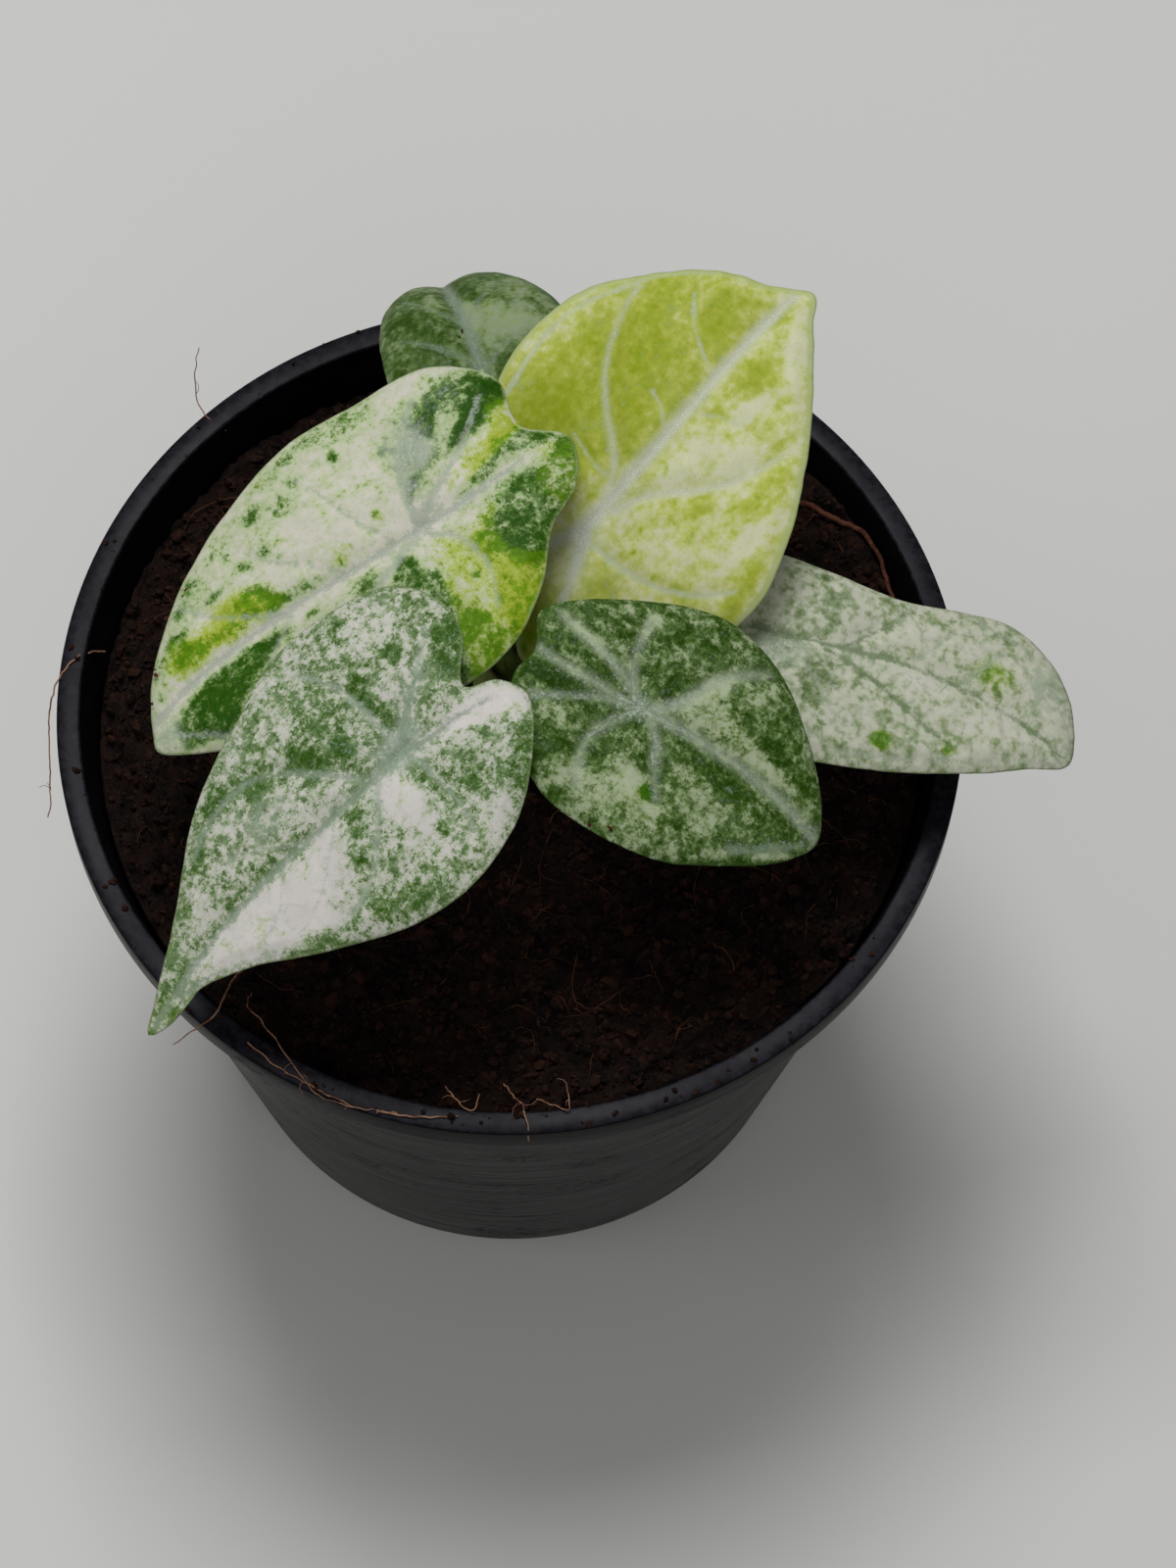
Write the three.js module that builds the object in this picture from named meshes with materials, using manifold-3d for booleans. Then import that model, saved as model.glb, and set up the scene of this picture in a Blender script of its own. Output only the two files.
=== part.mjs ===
// A young variegated alocasia in its round plastic nursery pot.
// Millimetres, +Z up. The origin is the centre of the pot's underside.
import * as THREE from 'three';
import Module from 'manifold-3d';
import { mergeVertices } from 'three/addons/utils/BufferGeometryUtils.js';

const wasm = await Module();
wasm.setup();

// Pot: a thin tapered shell with a flat rim band and a skirt turned down from it
const POT_HEIGHT = 82;
const RIM_RADIUS = 50;
const RIM_BAND = 2.6;
const RIM_ROUND = 0.7;
const LIP_CHAMFER = 0.5;
const BAND_THICKNESS = 1.1;
const SKIRT_DROP = 4;
const SKIRT_THICKNESS = 0.9;
const BASE_RADIUS = 36;
const BASE_CHAMFER = 0.8;
const WALL = 0.9;
const FLOOR = 1.2;
const DRAIN_HOLES = 8;
const DRAIN_RADIUS = 3.5;
const DRAIN_CIRCLE = 24;
const DRAIN_FACETS = 12;
const POT_FACETS = 56;

// Potting mix: fills the shell up to a rough surface below the rim
const MIX_BELOW_RIM = 7;
const MIX_EDGE_DROP = 2;
const FIT_GAP = 0.3;
const MIX_RINGS = 13;
const MIX_FACETS = 56;
// Its hills, lumps and crumbs: each the product of two sines of a x + b y + c, times a height
const MIX_RELIEF = [
  { height: 0.7, waves: [[0.11, 0, 0.6], [0, 0.13, 1.17]] },
  { height: 0.45, waves: [[0.42, 0.31, 0], [-0.29, 0.37, 1.1]] },
  { height: 0.3, waves: [[0.9, -0.7, 2], [0.8, 0.95, 0]] },
];

// Crown: the short stem base that the leaf stalks rise from
const CROWN_PLACE = [3, 4];
const CROWN_RADIUS = 7.2;
const CROWN_ROOT = 8;
const CROWN_RISE = 5;
const CROWN_CHAMFER = 2;
const CROWN_ROUND = 1;
const CROWN_FACETS = 24;
const SOCKET_DEPTH = 5;
const SOCKET_RING = 4.6;
const SOCKET_FACETS = 12;

// Leaves: a thin blade on a stalk that joins it behind its middle, at the hub
const BLADE_THICKNESS = 0.8;
const STALK_FOOT_RADIUS = 1.6;
const STALK_TOP_RADIUS = 1.15;
const STALK_NECK = 7;
const STALK_UPRIGHT = 0.6;
const STALK_BOW = 0.06;
const STALK_BITE = 0.3;
const STALK_STEPS = 12;
const STALK_SIDES = 8;
const OUTLINE_STEPS = 40;
const BLADE_RINGS = [0.22, 0.45, 0.68, 0.86, 1];
const GROOVE_WIDTH = 3;
const HUB_FLAT = 6;

// hub: place of the stalk's top, its height counted from the rim's top
// heading, pitch, roll: how the blade points, tips up and leans, in degrees
// bend and camber: how fast it curves down along and across, in degrees a millimetre
// groove: how far the halves stand above the midrib; wave: lift and count of the edge's waves
// outline: [along, left] from the hub in the flattened blade, from the tip round by the left
const LEAVES = [
  {
    name: 'leaf_back_dark', hue: '#4d7f3a', foot: 105, hub: [-3.7, 30, 19],
    heading: 109, pitch: 0, roll: -2, bend: [2.7, 2], camber: 2.1, groove: 0.6, wave: [0.2, 4],
    outline: [[27, 0], [24, 4], [19, 7], [12, 9.4], [4, 10.2], [-3, 9.6], [-6.5, 7], [-7.5, 3.5], [-6, 0],
      [-7.5, -3.5], [-6.5, -7.5], [-3, -10.5], [4, -11.8], [12, -11], [19, -8.5], [24, -4.5]],
  },
  {
    name: 'leaf_lime_upright', hue: '#b9c84a', foot: null, hub: [7.9, 11.8, 20],
    heading: 45.7, pitch: 24.5, roll: 0, bend: [0.45, 1], camber: 0.4, groove: 0.4, wave: [0.4, 5],
    outline: [[35, 0], [32.4, 4.2], [29.4, 10], [24, 15.4], [18.5, 19.4], [12.5, 20.6], [6.5, 19.8],
      [0, 16.5], [-6, 12], [-10, 8], [-12, 3.5], [-10.5, 0.3], [-14, -1.5], [-15.6, -3.6], [-13, -9],
      [-8, -14], [-3, -17.5], [3.2, -19.4], [8.5, -19.2], [16.5, -15.8], [25, -9.6], [32.5, -2.5]],
  },
  {
    name: 'leaf_left_cream', hue: '#a9bf7c', foot: 157, hub: [-9.9, 8.4, 25.5],
    heading: -140.6, pitch: -9.4, roll: 0, bend: [0.4, 0.6], camber: 0.5, groove: 0.4, wave: [0.4, 5],
    outline: [[36.4, 0.1], [34.4, 2.4], [31, 5], [24, 9.5], [15, 14], [6.5, 16.8], [0, 16.6], [-6.5, 13],
      [-11, 8.8], [-16, 6.4], [-18.8, 1.6], [-15.5, -2.8], [-17, -9], [-12.5, -14.3], [-4, -16.2],
      [4.5, -17.4], [14, -15.6], [24, -12.2], [32, -6.5], [35.6, -2]],
  },
  {
    name: 'leaf_front_white', hue: '#bccbb0', foot: 233, hub: [-10.7, -17.3, 26],
    heading: -133.8, pitch: -15.6, roll: 0, bend: [0.4, 0.9], camber: 0.4, groove: 0.4, wave: [0.5, 6],
    outline: [[40, 0], [37.5, 1.2], [33, 1.1], [27.5, 3.8], [20, 9.2], [12.5, 13.6], [5, 15.7], [-2.5, 14.4],
      [-9.5, 10.2], [-13.4, 5.2], [-12.3, 2], [-9.2, 0.1], [-13, -4], [-14.2, -8], [-12, -13.7],
      [-5, -16.1], [3, -17.3], [10, -15.1], [20, -11.7], [30, -5.6], [36, -2.3]],
  },
  {
    name: 'leaf_centre_dark', hue: '#5f8a4c', foot: 309, hub: [14.2, -10.7, 24],
    heading: -30.8, pitch: -16.9, roll: 0, bend: [0.6, 0.8], camber: 0.5, groove: 0.4, wave: [0.3, 5],
    outline: [[23.8, 0.6], [21.5, 4.1], [16, 9], [10, 12.9], [3, 13.8], [-5, 10.7], [-12, 5.5],
      [-14.4, 2.2], [-12.7, -1.4], [-13, -5], [-10, -10], [-4, -13.8], [3, -14.1], [10.5, -12.4],
      [17, -8], [22, -3.3]],
  },
  {
    name: 'leaf_right_white', hue: '#c4cfbb', foot: 358, hub: [27.7, 1.9, 15.5],
    heading: -18.4, pitch: -6.6, roll: 0, bend: [0.4, 0.8], camber: 1.2, groove: 0.4, wave: [0.5, 4],
    outline: [[35.6, 0.8], [34.6, 5], [30.5, 10.6], [24.5, 13.2], [18.5, 12], [12, 10.3], [4, 10.5],
      [-3, 9.6], [-9, 7], [-11.5, 3.5], [-10, 0], [-11.5, -4], [-8.5, -8.5], [-2, -11.5], [4.5, -12.3],
      [11, -10.8], [19, -8.1], [26, -5], [31.5, -1.8]],
  },
];

// Colour and roughness of each material
const POT_LOOK = { color: '#1b1b1e', roughness: 0.45 };
const MIX_LOOK = { color: '#3a2519', roughness: 0.95 };
const CROWN_LOOK = { color: '#5d6a38', roughness: 0.7 };
const LEAF_ROUGHNESS = 0.5;

const RADIANS = Math.PI / 180;
const MIX_TOP = POT_HEIGHT - MIX_BELOW_RIM;
const CUT_OVERLAP = 3; // how far a cutting body stands past what it cuts
const WELD_DISTANCE = 1e-4;
const NORMAL_STEP = 0.05;
const ROUND_MIDDLE = 1 - Math.SQRT1_2; // how far a rounding's middle is from both faces, for radius 1

function toSolid(geometry) {
  const bare = geometry.clone();
  bare.deleteAttribute('normal');
  bare.deleteAttribute('uv');
  const merged = mergeVertices(bare, WELD_DISTANCE);
  return new wasm.Manifold(new wasm.Mesh({
    numProp: 3,
    vertProperties: new Float32Array(merged.attributes.position.array),
    triVerts: new Uint32Array(merged.index.array),
  }));
}

function toGeometry(solid) {
  const mesh = solid.getMesh();
  const geometry = new THREE.BufferGeometry();
  geometry.setAttribute('position', new THREE.BufferAttribute(new Float32Array(mesh.vertProperties), 3));
  geometry.setIndex(new THREE.BufferAttribute(new Uint32Array(mesh.triVerts), 1));
  return geometry;
}

function named(name, geometry, look) {
  const flat = geometry.toNonIndexed();
  flat.computeVertexNormals();
  const mesh = new THREE.Mesh(flat, new THREE.MeshStandardMaterial(look));
  mesh.name = name;
  return mesh;
}

// LatheGeometry turns about Y, so its rings are stood up on Z
function lathe(profile, facets) {
  const points = profile.map(([r, z]) => new THREE.Vector2(r, z));
  return new THREE.LatheGeometry(points, facets).rotateX(Math.PI / 2);
}

function uprightCylinder(radius, low, high, x, y, facets) {
  const rod = new THREE.CylinderGeometry(radius, radius, high - low, facets);
  return rod.rotateX(Math.PI / 2).translate(x, y, (low + high) / 2);
}

// The inner wall's radius at a height, which the potting mix follows
function innerRadius(z) {
  const low = BASE_RADIUS - WALL;
  const high = RIM_RADIUS - RIM_BAND;
  return low + (high - low) * (z - FLOOR) / (POT_HEIGHT - FLOOR);
}

function pot() {
  const underBand = POT_HEIGHT - BAND_THICKNESS;
  const skirtFoot = POT_HEIGHT - SKIRT_DROP;
  const skirtInner = RIM_RADIUS - SKIRT_THICKNESS;
  const shell = toSolid(lathe([
    [0, 0],
    [BASE_RADIUS - BASE_CHAMFER, 0],
    [BASE_RADIUS, BASE_CHAMFER],
    [innerRadius(underBand) + WALL, underBand],
    [skirtInner, underBand],
    [skirtInner, skirtFoot],
    [RIM_RADIUS, skirtFoot],
    [RIM_RADIUS, POT_HEIGHT - RIM_ROUND],
    [RIM_RADIUS - RIM_ROUND * ROUND_MIDDLE, POT_HEIGHT - RIM_ROUND * ROUND_MIDDLE],
    [RIM_RADIUS - RIM_ROUND, POT_HEIGHT],
    [innerRadius(POT_HEIGHT) + LIP_CHAMFER, POT_HEIGHT],
    [innerRadius(POT_HEIGHT - LIP_CHAMFER), POT_HEIGHT - LIP_CHAMFER],
    [innerRadius(FLOOR), FLOOR],
    [0, FLOOR],
  ], POT_FACETS));
  const drains = Array.from({ length: DRAIN_HOLES }, (_, i) => {
    const turn = (i + 0.5) * 2 * Math.PI / DRAIN_HOLES;
    const x = DRAIN_CIRCLE * Math.cos(turn);
    const y = DRAIN_CIRCLE * Math.sin(turn);
    return toSolid(uprightCylinder(DRAIN_RADIUS, -CUT_OVERLAP, FLOOR + CUT_OVERLAP, x, y, DRAIN_FACETS));
  });
  return toGeometry(drains.reduce((solid, drain) => solid.subtract(drain), shell));
}

function mixRelief(x, y) {
  return MIX_RELIEF.reduce((sum, { height, waves }) => (
    sum + waves.reduce((product, [a, b, c]) => product * Math.sin(a * x + b * y + c), height)
  ), 0);
}

function pottingMix() {
  const positions = [0, 0, MIX_TOP + mixRelief(0, 0)];
  const bottom = FLOOR + FIT_GAP;
  const edge = innerRadius(MIX_TOP - MIX_EDGE_DROP) - FIT_GAP;
  const ring = (radius, height) => {
    for (let i = 0; i < MIX_FACETS; i += 1) {
      const turn = 2 * Math.PI * i / MIX_FACETS;
      const x = radius * Math.cos(turn);
      const y = radius * Math.sin(turn);
      positions.push(x, y, height ?? MIX_TOP + mixRelief(x, y));
    }
  };
  for (let j = 1; j <= MIX_RINGS; j += 1) ring(edge * j / MIX_RINGS);
  ring(innerRadius(bottom) - FIT_GAP, bottom);
  positions.push(0, 0, bottom);
  const rings = MIX_RINGS + 1;
  return toSolid(closedFan(positions, rings, MIX_FACETS));
}

// Rings of points between a first and a last single point, skinned into one closed body.
// From the ring mirroredFrom on, the quads are split the other way, so that a sheet's lower
// face has the same triangles as its upper one
function closedFan(positions, rings, facets, mirroredFrom = rings) {
  const last = 1 + rings * facets;
  const index = [];
  for (let i = 0; i < facets; i += 1) {
    const next = (i + 1) % facets;
    index.push(0, 1 + i, 1 + next);
    for (let j = 0; j < rings - 1; j += 1) {
      const here = 1 + j * facets;
      const out = here + facets;
      if (j < mirroredFrom) index.push(here + i, out + i, out + next, here + i, out + next, here + next);
      else index.push(here + i, out + i, here + next, here + next, out + i, out + next);
    }
    const end = 1 + (rings - 1) * facets;
    index.push(end + i, last, end + next);
  }
  const geometry = new THREE.BufferGeometry();
  geometry.setAttribute('position', new THREE.Float32BufferAttribute(positions, 3));
  geometry.setIndex(index);
  return geometry;
}

// Where a stalk enters the crown: on a ring at its foot angle, or in the middle
function socketPlace(leaf) {
  if (leaf.foot === null) return [...CROWN_PLACE];
  const turn = leaf.foot * RADIANS;
  return [CROWN_PLACE[0] + SOCKET_RING * Math.cos(turn), CROWN_PLACE[1] + SOCKET_RING * Math.sin(turn)];
}

function crown() {
  const low = MIX_TOP - CROWN_ROOT;
  const high = MIX_TOP + CROWN_RISE;
  const body = lathe([
    [0, low],
    [CROWN_RADIUS - CROWN_CHAMFER, low],
    [CROWN_RADIUS, low + CROWN_CHAMFER],
    [CROWN_RADIUS, high - CROWN_ROUND],
    [CROWN_RADIUS - CROWN_ROUND * ROUND_MIDDLE, high - CROWN_ROUND * ROUND_MIDDLE],
    [CROWN_RADIUS - CROWN_ROUND, high],
    [0, high],
  ], CROWN_FACETS).translate(CROWN_PLACE[0], CROWN_PLACE[1], 0);
  return toGeometry(LEAVES.reduce((solid, leaf) => {
    const [x, y] = socketPlace(leaf);
    const radius = STALK_FOOT_RADIUS + FIT_GAP;
    const top = high + CUT_OVERLAP;
    return solid.subtract(toSolid(uprightCylinder(radius, high - SOCKET_DEPTH, top, x, y, SOCKET_FACETS)));
  }, toSolid(body)));
}

// Its flats keep the gap, so its corners stand out a little further
function crownHole() {
  const radius = (CROWN_RADIUS + FIT_GAP) / Math.cos(Math.PI / CROWN_FACETS);
  const low = MIX_TOP - CROWN_ROOT - FIT_GAP;
  return toSolid(uprightCylinder(radius, low, MIX_TOP + CUT_OVERLAP, ...CROWN_PLACE, CROWN_FACETS));
}

// The blade's own axes: forward to the tip, left, and out of its upper face
function bladeAxes(leaf) {
  const heading = leaf.heading * RADIANS;
  const pitch = leaf.pitch * RADIANS;
  const roll = leaf.roll * RADIANS;
  const forward = new THREE.Vector3(
    Math.cos(heading) * Math.cos(pitch), Math.sin(heading) * Math.cos(pitch), Math.sin(pitch),
  );
  const level = new THREE.Vector3(-Math.sin(heading), Math.cos(heading), 0);
  const over = new THREE.Vector3().crossVectors(forward, level);
  const left = level.clone().multiplyScalar(Math.cos(roll)).addScaledVector(over, Math.sin(roll));
  const out = over.clone().multiplyScalar(Math.cos(roll)).addScaledVector(level, -Math.sin(roll));
  return { forward, left, out };
}

// A point of the blade's middle surface: the flat outline bent down along and across the midrib
function bladePoint(leaf, along, across, reach) {
  const { forward, left, out } = bladeAxes(leaf);
  const bend = (along > 0 ? leaf.bend[0] : leaf.bend[1]) * RADIANS;
  const camber = leaf.camber * RADIANS;
  const turn = bend * along;
  const normal = out.clone().multiplyScalar(Math.cos(turn)).addScaledVector(forward, Math.sin(turn));
  const groove = leaf.groove * (1 - Math.exp(-((across / GROOVE_WIDTH) ** 2)));
  const rise = groove * Math.min(Math.hypot(along, across) / HUB_FLAT, 1);
  const [lift, count] = leaf.wave;
  const wave = lift * Math.sin(count * Math.atan2(across, along)) * reach ** 3;
  return new THREE.Vector3(leaf.hub[0], leaf.hub[1], leaf.hub[2] + POT_HEIGHT)
    .addScaledVector(forward, Math.sin(turn) / bend)
    .addScaledVector(out, -(1 - Math.cos(turn)) / bend)
    .addScaledVector(left, Math.sin(camber * across) / camber)
    .addScaledVector(normal, rise + wave - (1 - Math.cos(camber * across)) / camber);
}

// The normal there, from two short steps over the surface
function bladeNormal(leaf, along, across, reach) {
  const here = bladePoint(leaf, along, across, reach);
  const ahead = bladePoint(leaf, along + NORMAL_STEP, across, reach).sub(here);
  const aside = bladePoint(leaf, along, across + NORMAL_STEP, reach).sub(here);
  return ahead.cross(aside).normalize();
}

function blade(leaf) {
  const points = leaf.outline.map(([along, across]) => new THREE.Vector3(along, across, 0));
  const curve = new THREE.CatmullRomCurve3(points, true, 'centripetal');
  const edge = curve.getSpacedPoints(OUTLINE_STEPS).slice(0, OUTLINE_STEPS);
  const half = BLADE_THICKNESS / 2;
  const positions = [];
  const put = (along, across, reach, offset) => {
    const place = bladePoint(leaf, along, across, reach)
      .addScaledVector(bladeNormal(leaf, along, across, reach), offset);
    positions.push(place.x, place.y, place.z);
  };
  put(0, 0, 0, half);
  for (const reach of BLADE_RINGS) edge.forEach((p) => put(p.x * reach, p.y * reach, reach, half));
  for (const reach of [...BLADE_RINGS].reverse()) {
    edge.forEach((p) => put(p.x * reach, p.y * reach, reach, -half));
  }
  put(0, 0, 0, -half);
  return closedFan(positions, 2 * BLADE_RINGS.length, OUTLINE_STEPS, BLADE_RINGS.length);
}

// The stalk: upright in its socket, then in one easy curve up to the blade's underside
function stalk(leaf) {
  const [x, y] = socketPlace(leaf);
  const collarHeight = MIX_TOP + CROWN_RISE;
  const hub = bladePoint(leaf, 0, 0, 0);
  const normal = bladeNormal(leaf, 0, 0, 0);
  const foot = new THREE.Vector3(x, y, collarHeight - SOCKET_DEPTH + FIT_GAP);
  const collar = new THREE.Vector3(x, y, collarHeight + STALK_UPRIGHT);
  const neck = hub.clone().addScaledVector(normal, -STALK_NECK);
  const middle = collar.clone().lerp(neck, 0.5);
  middle.z += STALK_BOW * collar.distanceTo(neck);
  hub.addScaledVector(normal, STALK_BITE - BLADE_THICKNESS / 2);
  const path = new THREE.CatmullRomCurve3([foot, collar, middle, neck, hub]);
  const frames = path.computeFrenetFrames(STALK_STEPS);
  const positions = [foot.x, foot.y, foot.z];
  for (let i = 0; i <= STALK_STEPS; i += 1) {
    const share = i / STALK_STEPS;
    const centre = path.getPointAt(share);
    const radius = STALK_FOOT_RADIUS + (STALK_TOP_RADIUS - STALK_FOOT_RADIUS) * share;
    for (let k = 0; k < STALK_SIDES; k += 1) {
      const turn = -2 * Math.PI * k / STALK_SIDES;
      const spot = centre.clone()
        .addScaledVector(frames.normals[i], radius * Math.cos(turn))
        .addScaledVector(frames.binormals[i], radius * Math.sin(turn));
      positions.push(spot.x, spot.y, spot.z);
    }
  }
  positions.push(hub.x, hub.y, hub.z);
  return closedFan(positions, STALK_STEPS + 1, STALK_SIDES);
}

const plant = new THREE.Group();
plant.add(named('pot', pot(), POT_LOOK));
plant.add(named('potting_mix', toGeometry(pottingMix().subtract(crownHole())), MIX_LOOK));
plant.add(named('crown', crown(), CROWN_LOOK));
for (const leaf of LEAVES) {
  const body = toSolid(blade(leaf)).add(toSolid(stalk(leaf)));
  plant.add(named(leaf.name, toGeometry(body), { color: leaf.hue, roughness: LEAF_ROUGHNESS }));
}

export default plant;
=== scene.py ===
import math
import random

import bmesh
import bpy
import numpy as np
from mathutils import Matrix, Vector, noise


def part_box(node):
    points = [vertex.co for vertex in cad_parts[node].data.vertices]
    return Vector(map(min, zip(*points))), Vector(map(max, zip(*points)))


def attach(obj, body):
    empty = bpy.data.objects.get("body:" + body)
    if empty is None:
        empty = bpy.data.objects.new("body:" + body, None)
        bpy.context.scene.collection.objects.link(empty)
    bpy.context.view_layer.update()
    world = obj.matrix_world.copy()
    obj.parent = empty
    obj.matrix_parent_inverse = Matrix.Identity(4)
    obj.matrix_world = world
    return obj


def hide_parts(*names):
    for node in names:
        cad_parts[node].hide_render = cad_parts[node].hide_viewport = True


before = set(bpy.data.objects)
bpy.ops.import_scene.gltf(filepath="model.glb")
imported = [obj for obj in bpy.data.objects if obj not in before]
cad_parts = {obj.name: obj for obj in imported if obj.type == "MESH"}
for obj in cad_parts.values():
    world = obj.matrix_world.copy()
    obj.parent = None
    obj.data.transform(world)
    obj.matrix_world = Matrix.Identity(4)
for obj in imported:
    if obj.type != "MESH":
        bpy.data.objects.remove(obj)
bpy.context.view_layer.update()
print("frame loaded:", sorted(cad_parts))

mm = 0.001
deg = math.pi / 180
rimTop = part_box("pot")[1].z / mm  # 82 mm, the height that the leaves are counted from


# Camera: the photograph's angle, worked out from the round rim
camera = {
    "elevation": 66.84,      # degrees above the horizon
    "roll": 1.955,           # degrees
    "distance": 486.8,       # mm from the point looked at
    "target": (8.83, -9.31), # mm in the rim's plane
    "view": 20.0,            # degrees over the picture's long side
    "sensor": 36,            # mm
    "clipStart": 0.01,       # m
}


# An object in the scene, at the origin
def placed(name, data):
    obj = bpy.data.objects.new(name, data)
    bpy.context.scene.collection.objects.link(obj)
    return obj


def addCamera(spec):
    data = bpy.data.cameras.new("photoCamera")
    data.sensor_width = spec["sensor"]
    data.lens = data.sensor_width / 2 / math.tan(spec["view"] * deg / 2)
    data.clip_start = spec["clipStart"]
    tilt = spec["elevation"] * deg
    roll = spec["roll"] * deg
    right = Vector((1, 0, 0))
    up = Vector((0, math.sin(tilt), math.cos(tilt)))
    back = Vector((0, -math.cos(tilt), math.sin(tilt)))
    across = right * math.cos(roll) + up * math.sin(roll)
    upward = up * math.cos(roll) - right * math.sin(roll)
    place = Vector((*spec["target"], rimTop)) + back * spec["distance"]
    turn = Matrix((across, upward, back)).transposed().to_4x4()
    obj = placed("photoCamera", data)
    obj.matrix_world = Matrix.Translation(place * mm) @ turn
    bpy.context.scene.camera = obj


addCamera(camera)
print("camera placed")


# Small helpers for node trees
def tone(red, green, blue):
    parts = [c / 255 for c in (red, green, blue)]
    linear = [c / 12.92 if c <= 0.04045 else ((c + 0.055) / 1.055) ** 2.4 for c in parts]
    return (*linear, 1.0)


def feed(tree, socket, value):
    if isinstance(value, bpy.types.NodeSocket):
        tree.links.new(value, socket)
    else:
        socket.default_value = value


def add(tree, kind, settings=None, **inputs):
    node = tree.nodes.new("ShaderNode" + kind)
    for key, value in (settings or {}).items():
        setattr(node, key, value)
    for key, value in inputs.items():
        feed(tree, node.inputs[key], value)
    return node


def math2(tree, operation, a, b):
    node = tree.nodes.new("ShaderNodeMath")
    node.operation = operation
    feed(tree, node.inputs[0], a)
    feed(tree, node.inputs[1], b)
    return node.outputs[0]


def mixColours(tree, share, a, b, blend="MIX"):
    node = tree.nodes.new("ShaderNodeMix")
    node.data_type = "RGBA"
    node.blend_type = blend
    feed(tree, node.inputs[0], share)
    feed(tree, node.inputs[6], a)
    feed(tree, node.inputs[7], b)
    return node.outputs[2]


# A soft step: 0 below low, 1 above high
def step(tree, value, low, high, bottom=0.0, top=1.0):
    node = tree.nodes.new("ShaderNodeMapRange")
    node.interpolation_type = "SMOOTHSTEP"
    for i, part in enumerate((value, low, high, bottom, top)):
        feed(tree, node.inputs[i], part)
    return node.outputs[0]


def noiseAt(tree, place, scale, detail, roughness):
    return add(tree, "TexNoise", Vector=place, Scale=scale, Detail=detail, Roughness=roughness).outputs[0]


def shifted(tree, place, offset):
    node = tree.nodes.new("ShaderNodeVectorMath")
    node.operation = "ADD"
    feed(tree, node.inputs[0], place)
    feed(tree, node.inputs[1], offset)
    return node.outputs[0]


def attribute(tree, name, output="Fac"):
    node = tree.nodes.new("ShaderNodeAttribute")
    node.attribute_name = name
    return node.outputs[output]


def newGroup(name, inputs, outputs):
    group = bpy.data.node_groups.new(name, "ShaderNodeTree")
    for label, kind, value in inputs:
        socket = group.interface.new_socket(label, in_out="INPUT", socket_type="NodeSocket" + kind)
        socket.default_value = value
    for label, kind in outputs:
        group.interface.new_socket(label, in_out="OUTPUT", socket_type="NodeSocket" + kind)
    return group, group.nodes.new("NodeGroupInput").outputs, group.nodes.new("NodeGroupOutput").inputs


def newMaterial(name):
    material = bpy.data.materials.new(name)
    material.use_nodes = True
    tree = material.node_tree
    return material, tree, tree.nodes["Principled BSDF"]


# Colour, roughness and bump, which every skin has. relief: strength, and depth in mm
def dress(tree, shader, colour, roughness, height, relief, specular=None):
    strength, depth = relief
    bump = add(tree, "Bump", Strength=strength, Distance=depth * mm, Height=height)
    feed(tree, shader.inputs["Base Color"], colour)
    feed(tree, shader.inputs["Roughness"], roughness)
    feed(tree, shader.inputs["Normal"], bump.outputs[0])
    if specular is not None:
        shader.inputs["Specular IOR Level"].default_value = specular


def placeGroup(tree, group, **inputs):
    node = tree.nodes.new("ShaderNodeGroup")
    node.node_tree = group
    for key, value in inputs.items():
        feed(tree, node.inputs[key], value)
    return node.outputs


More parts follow.
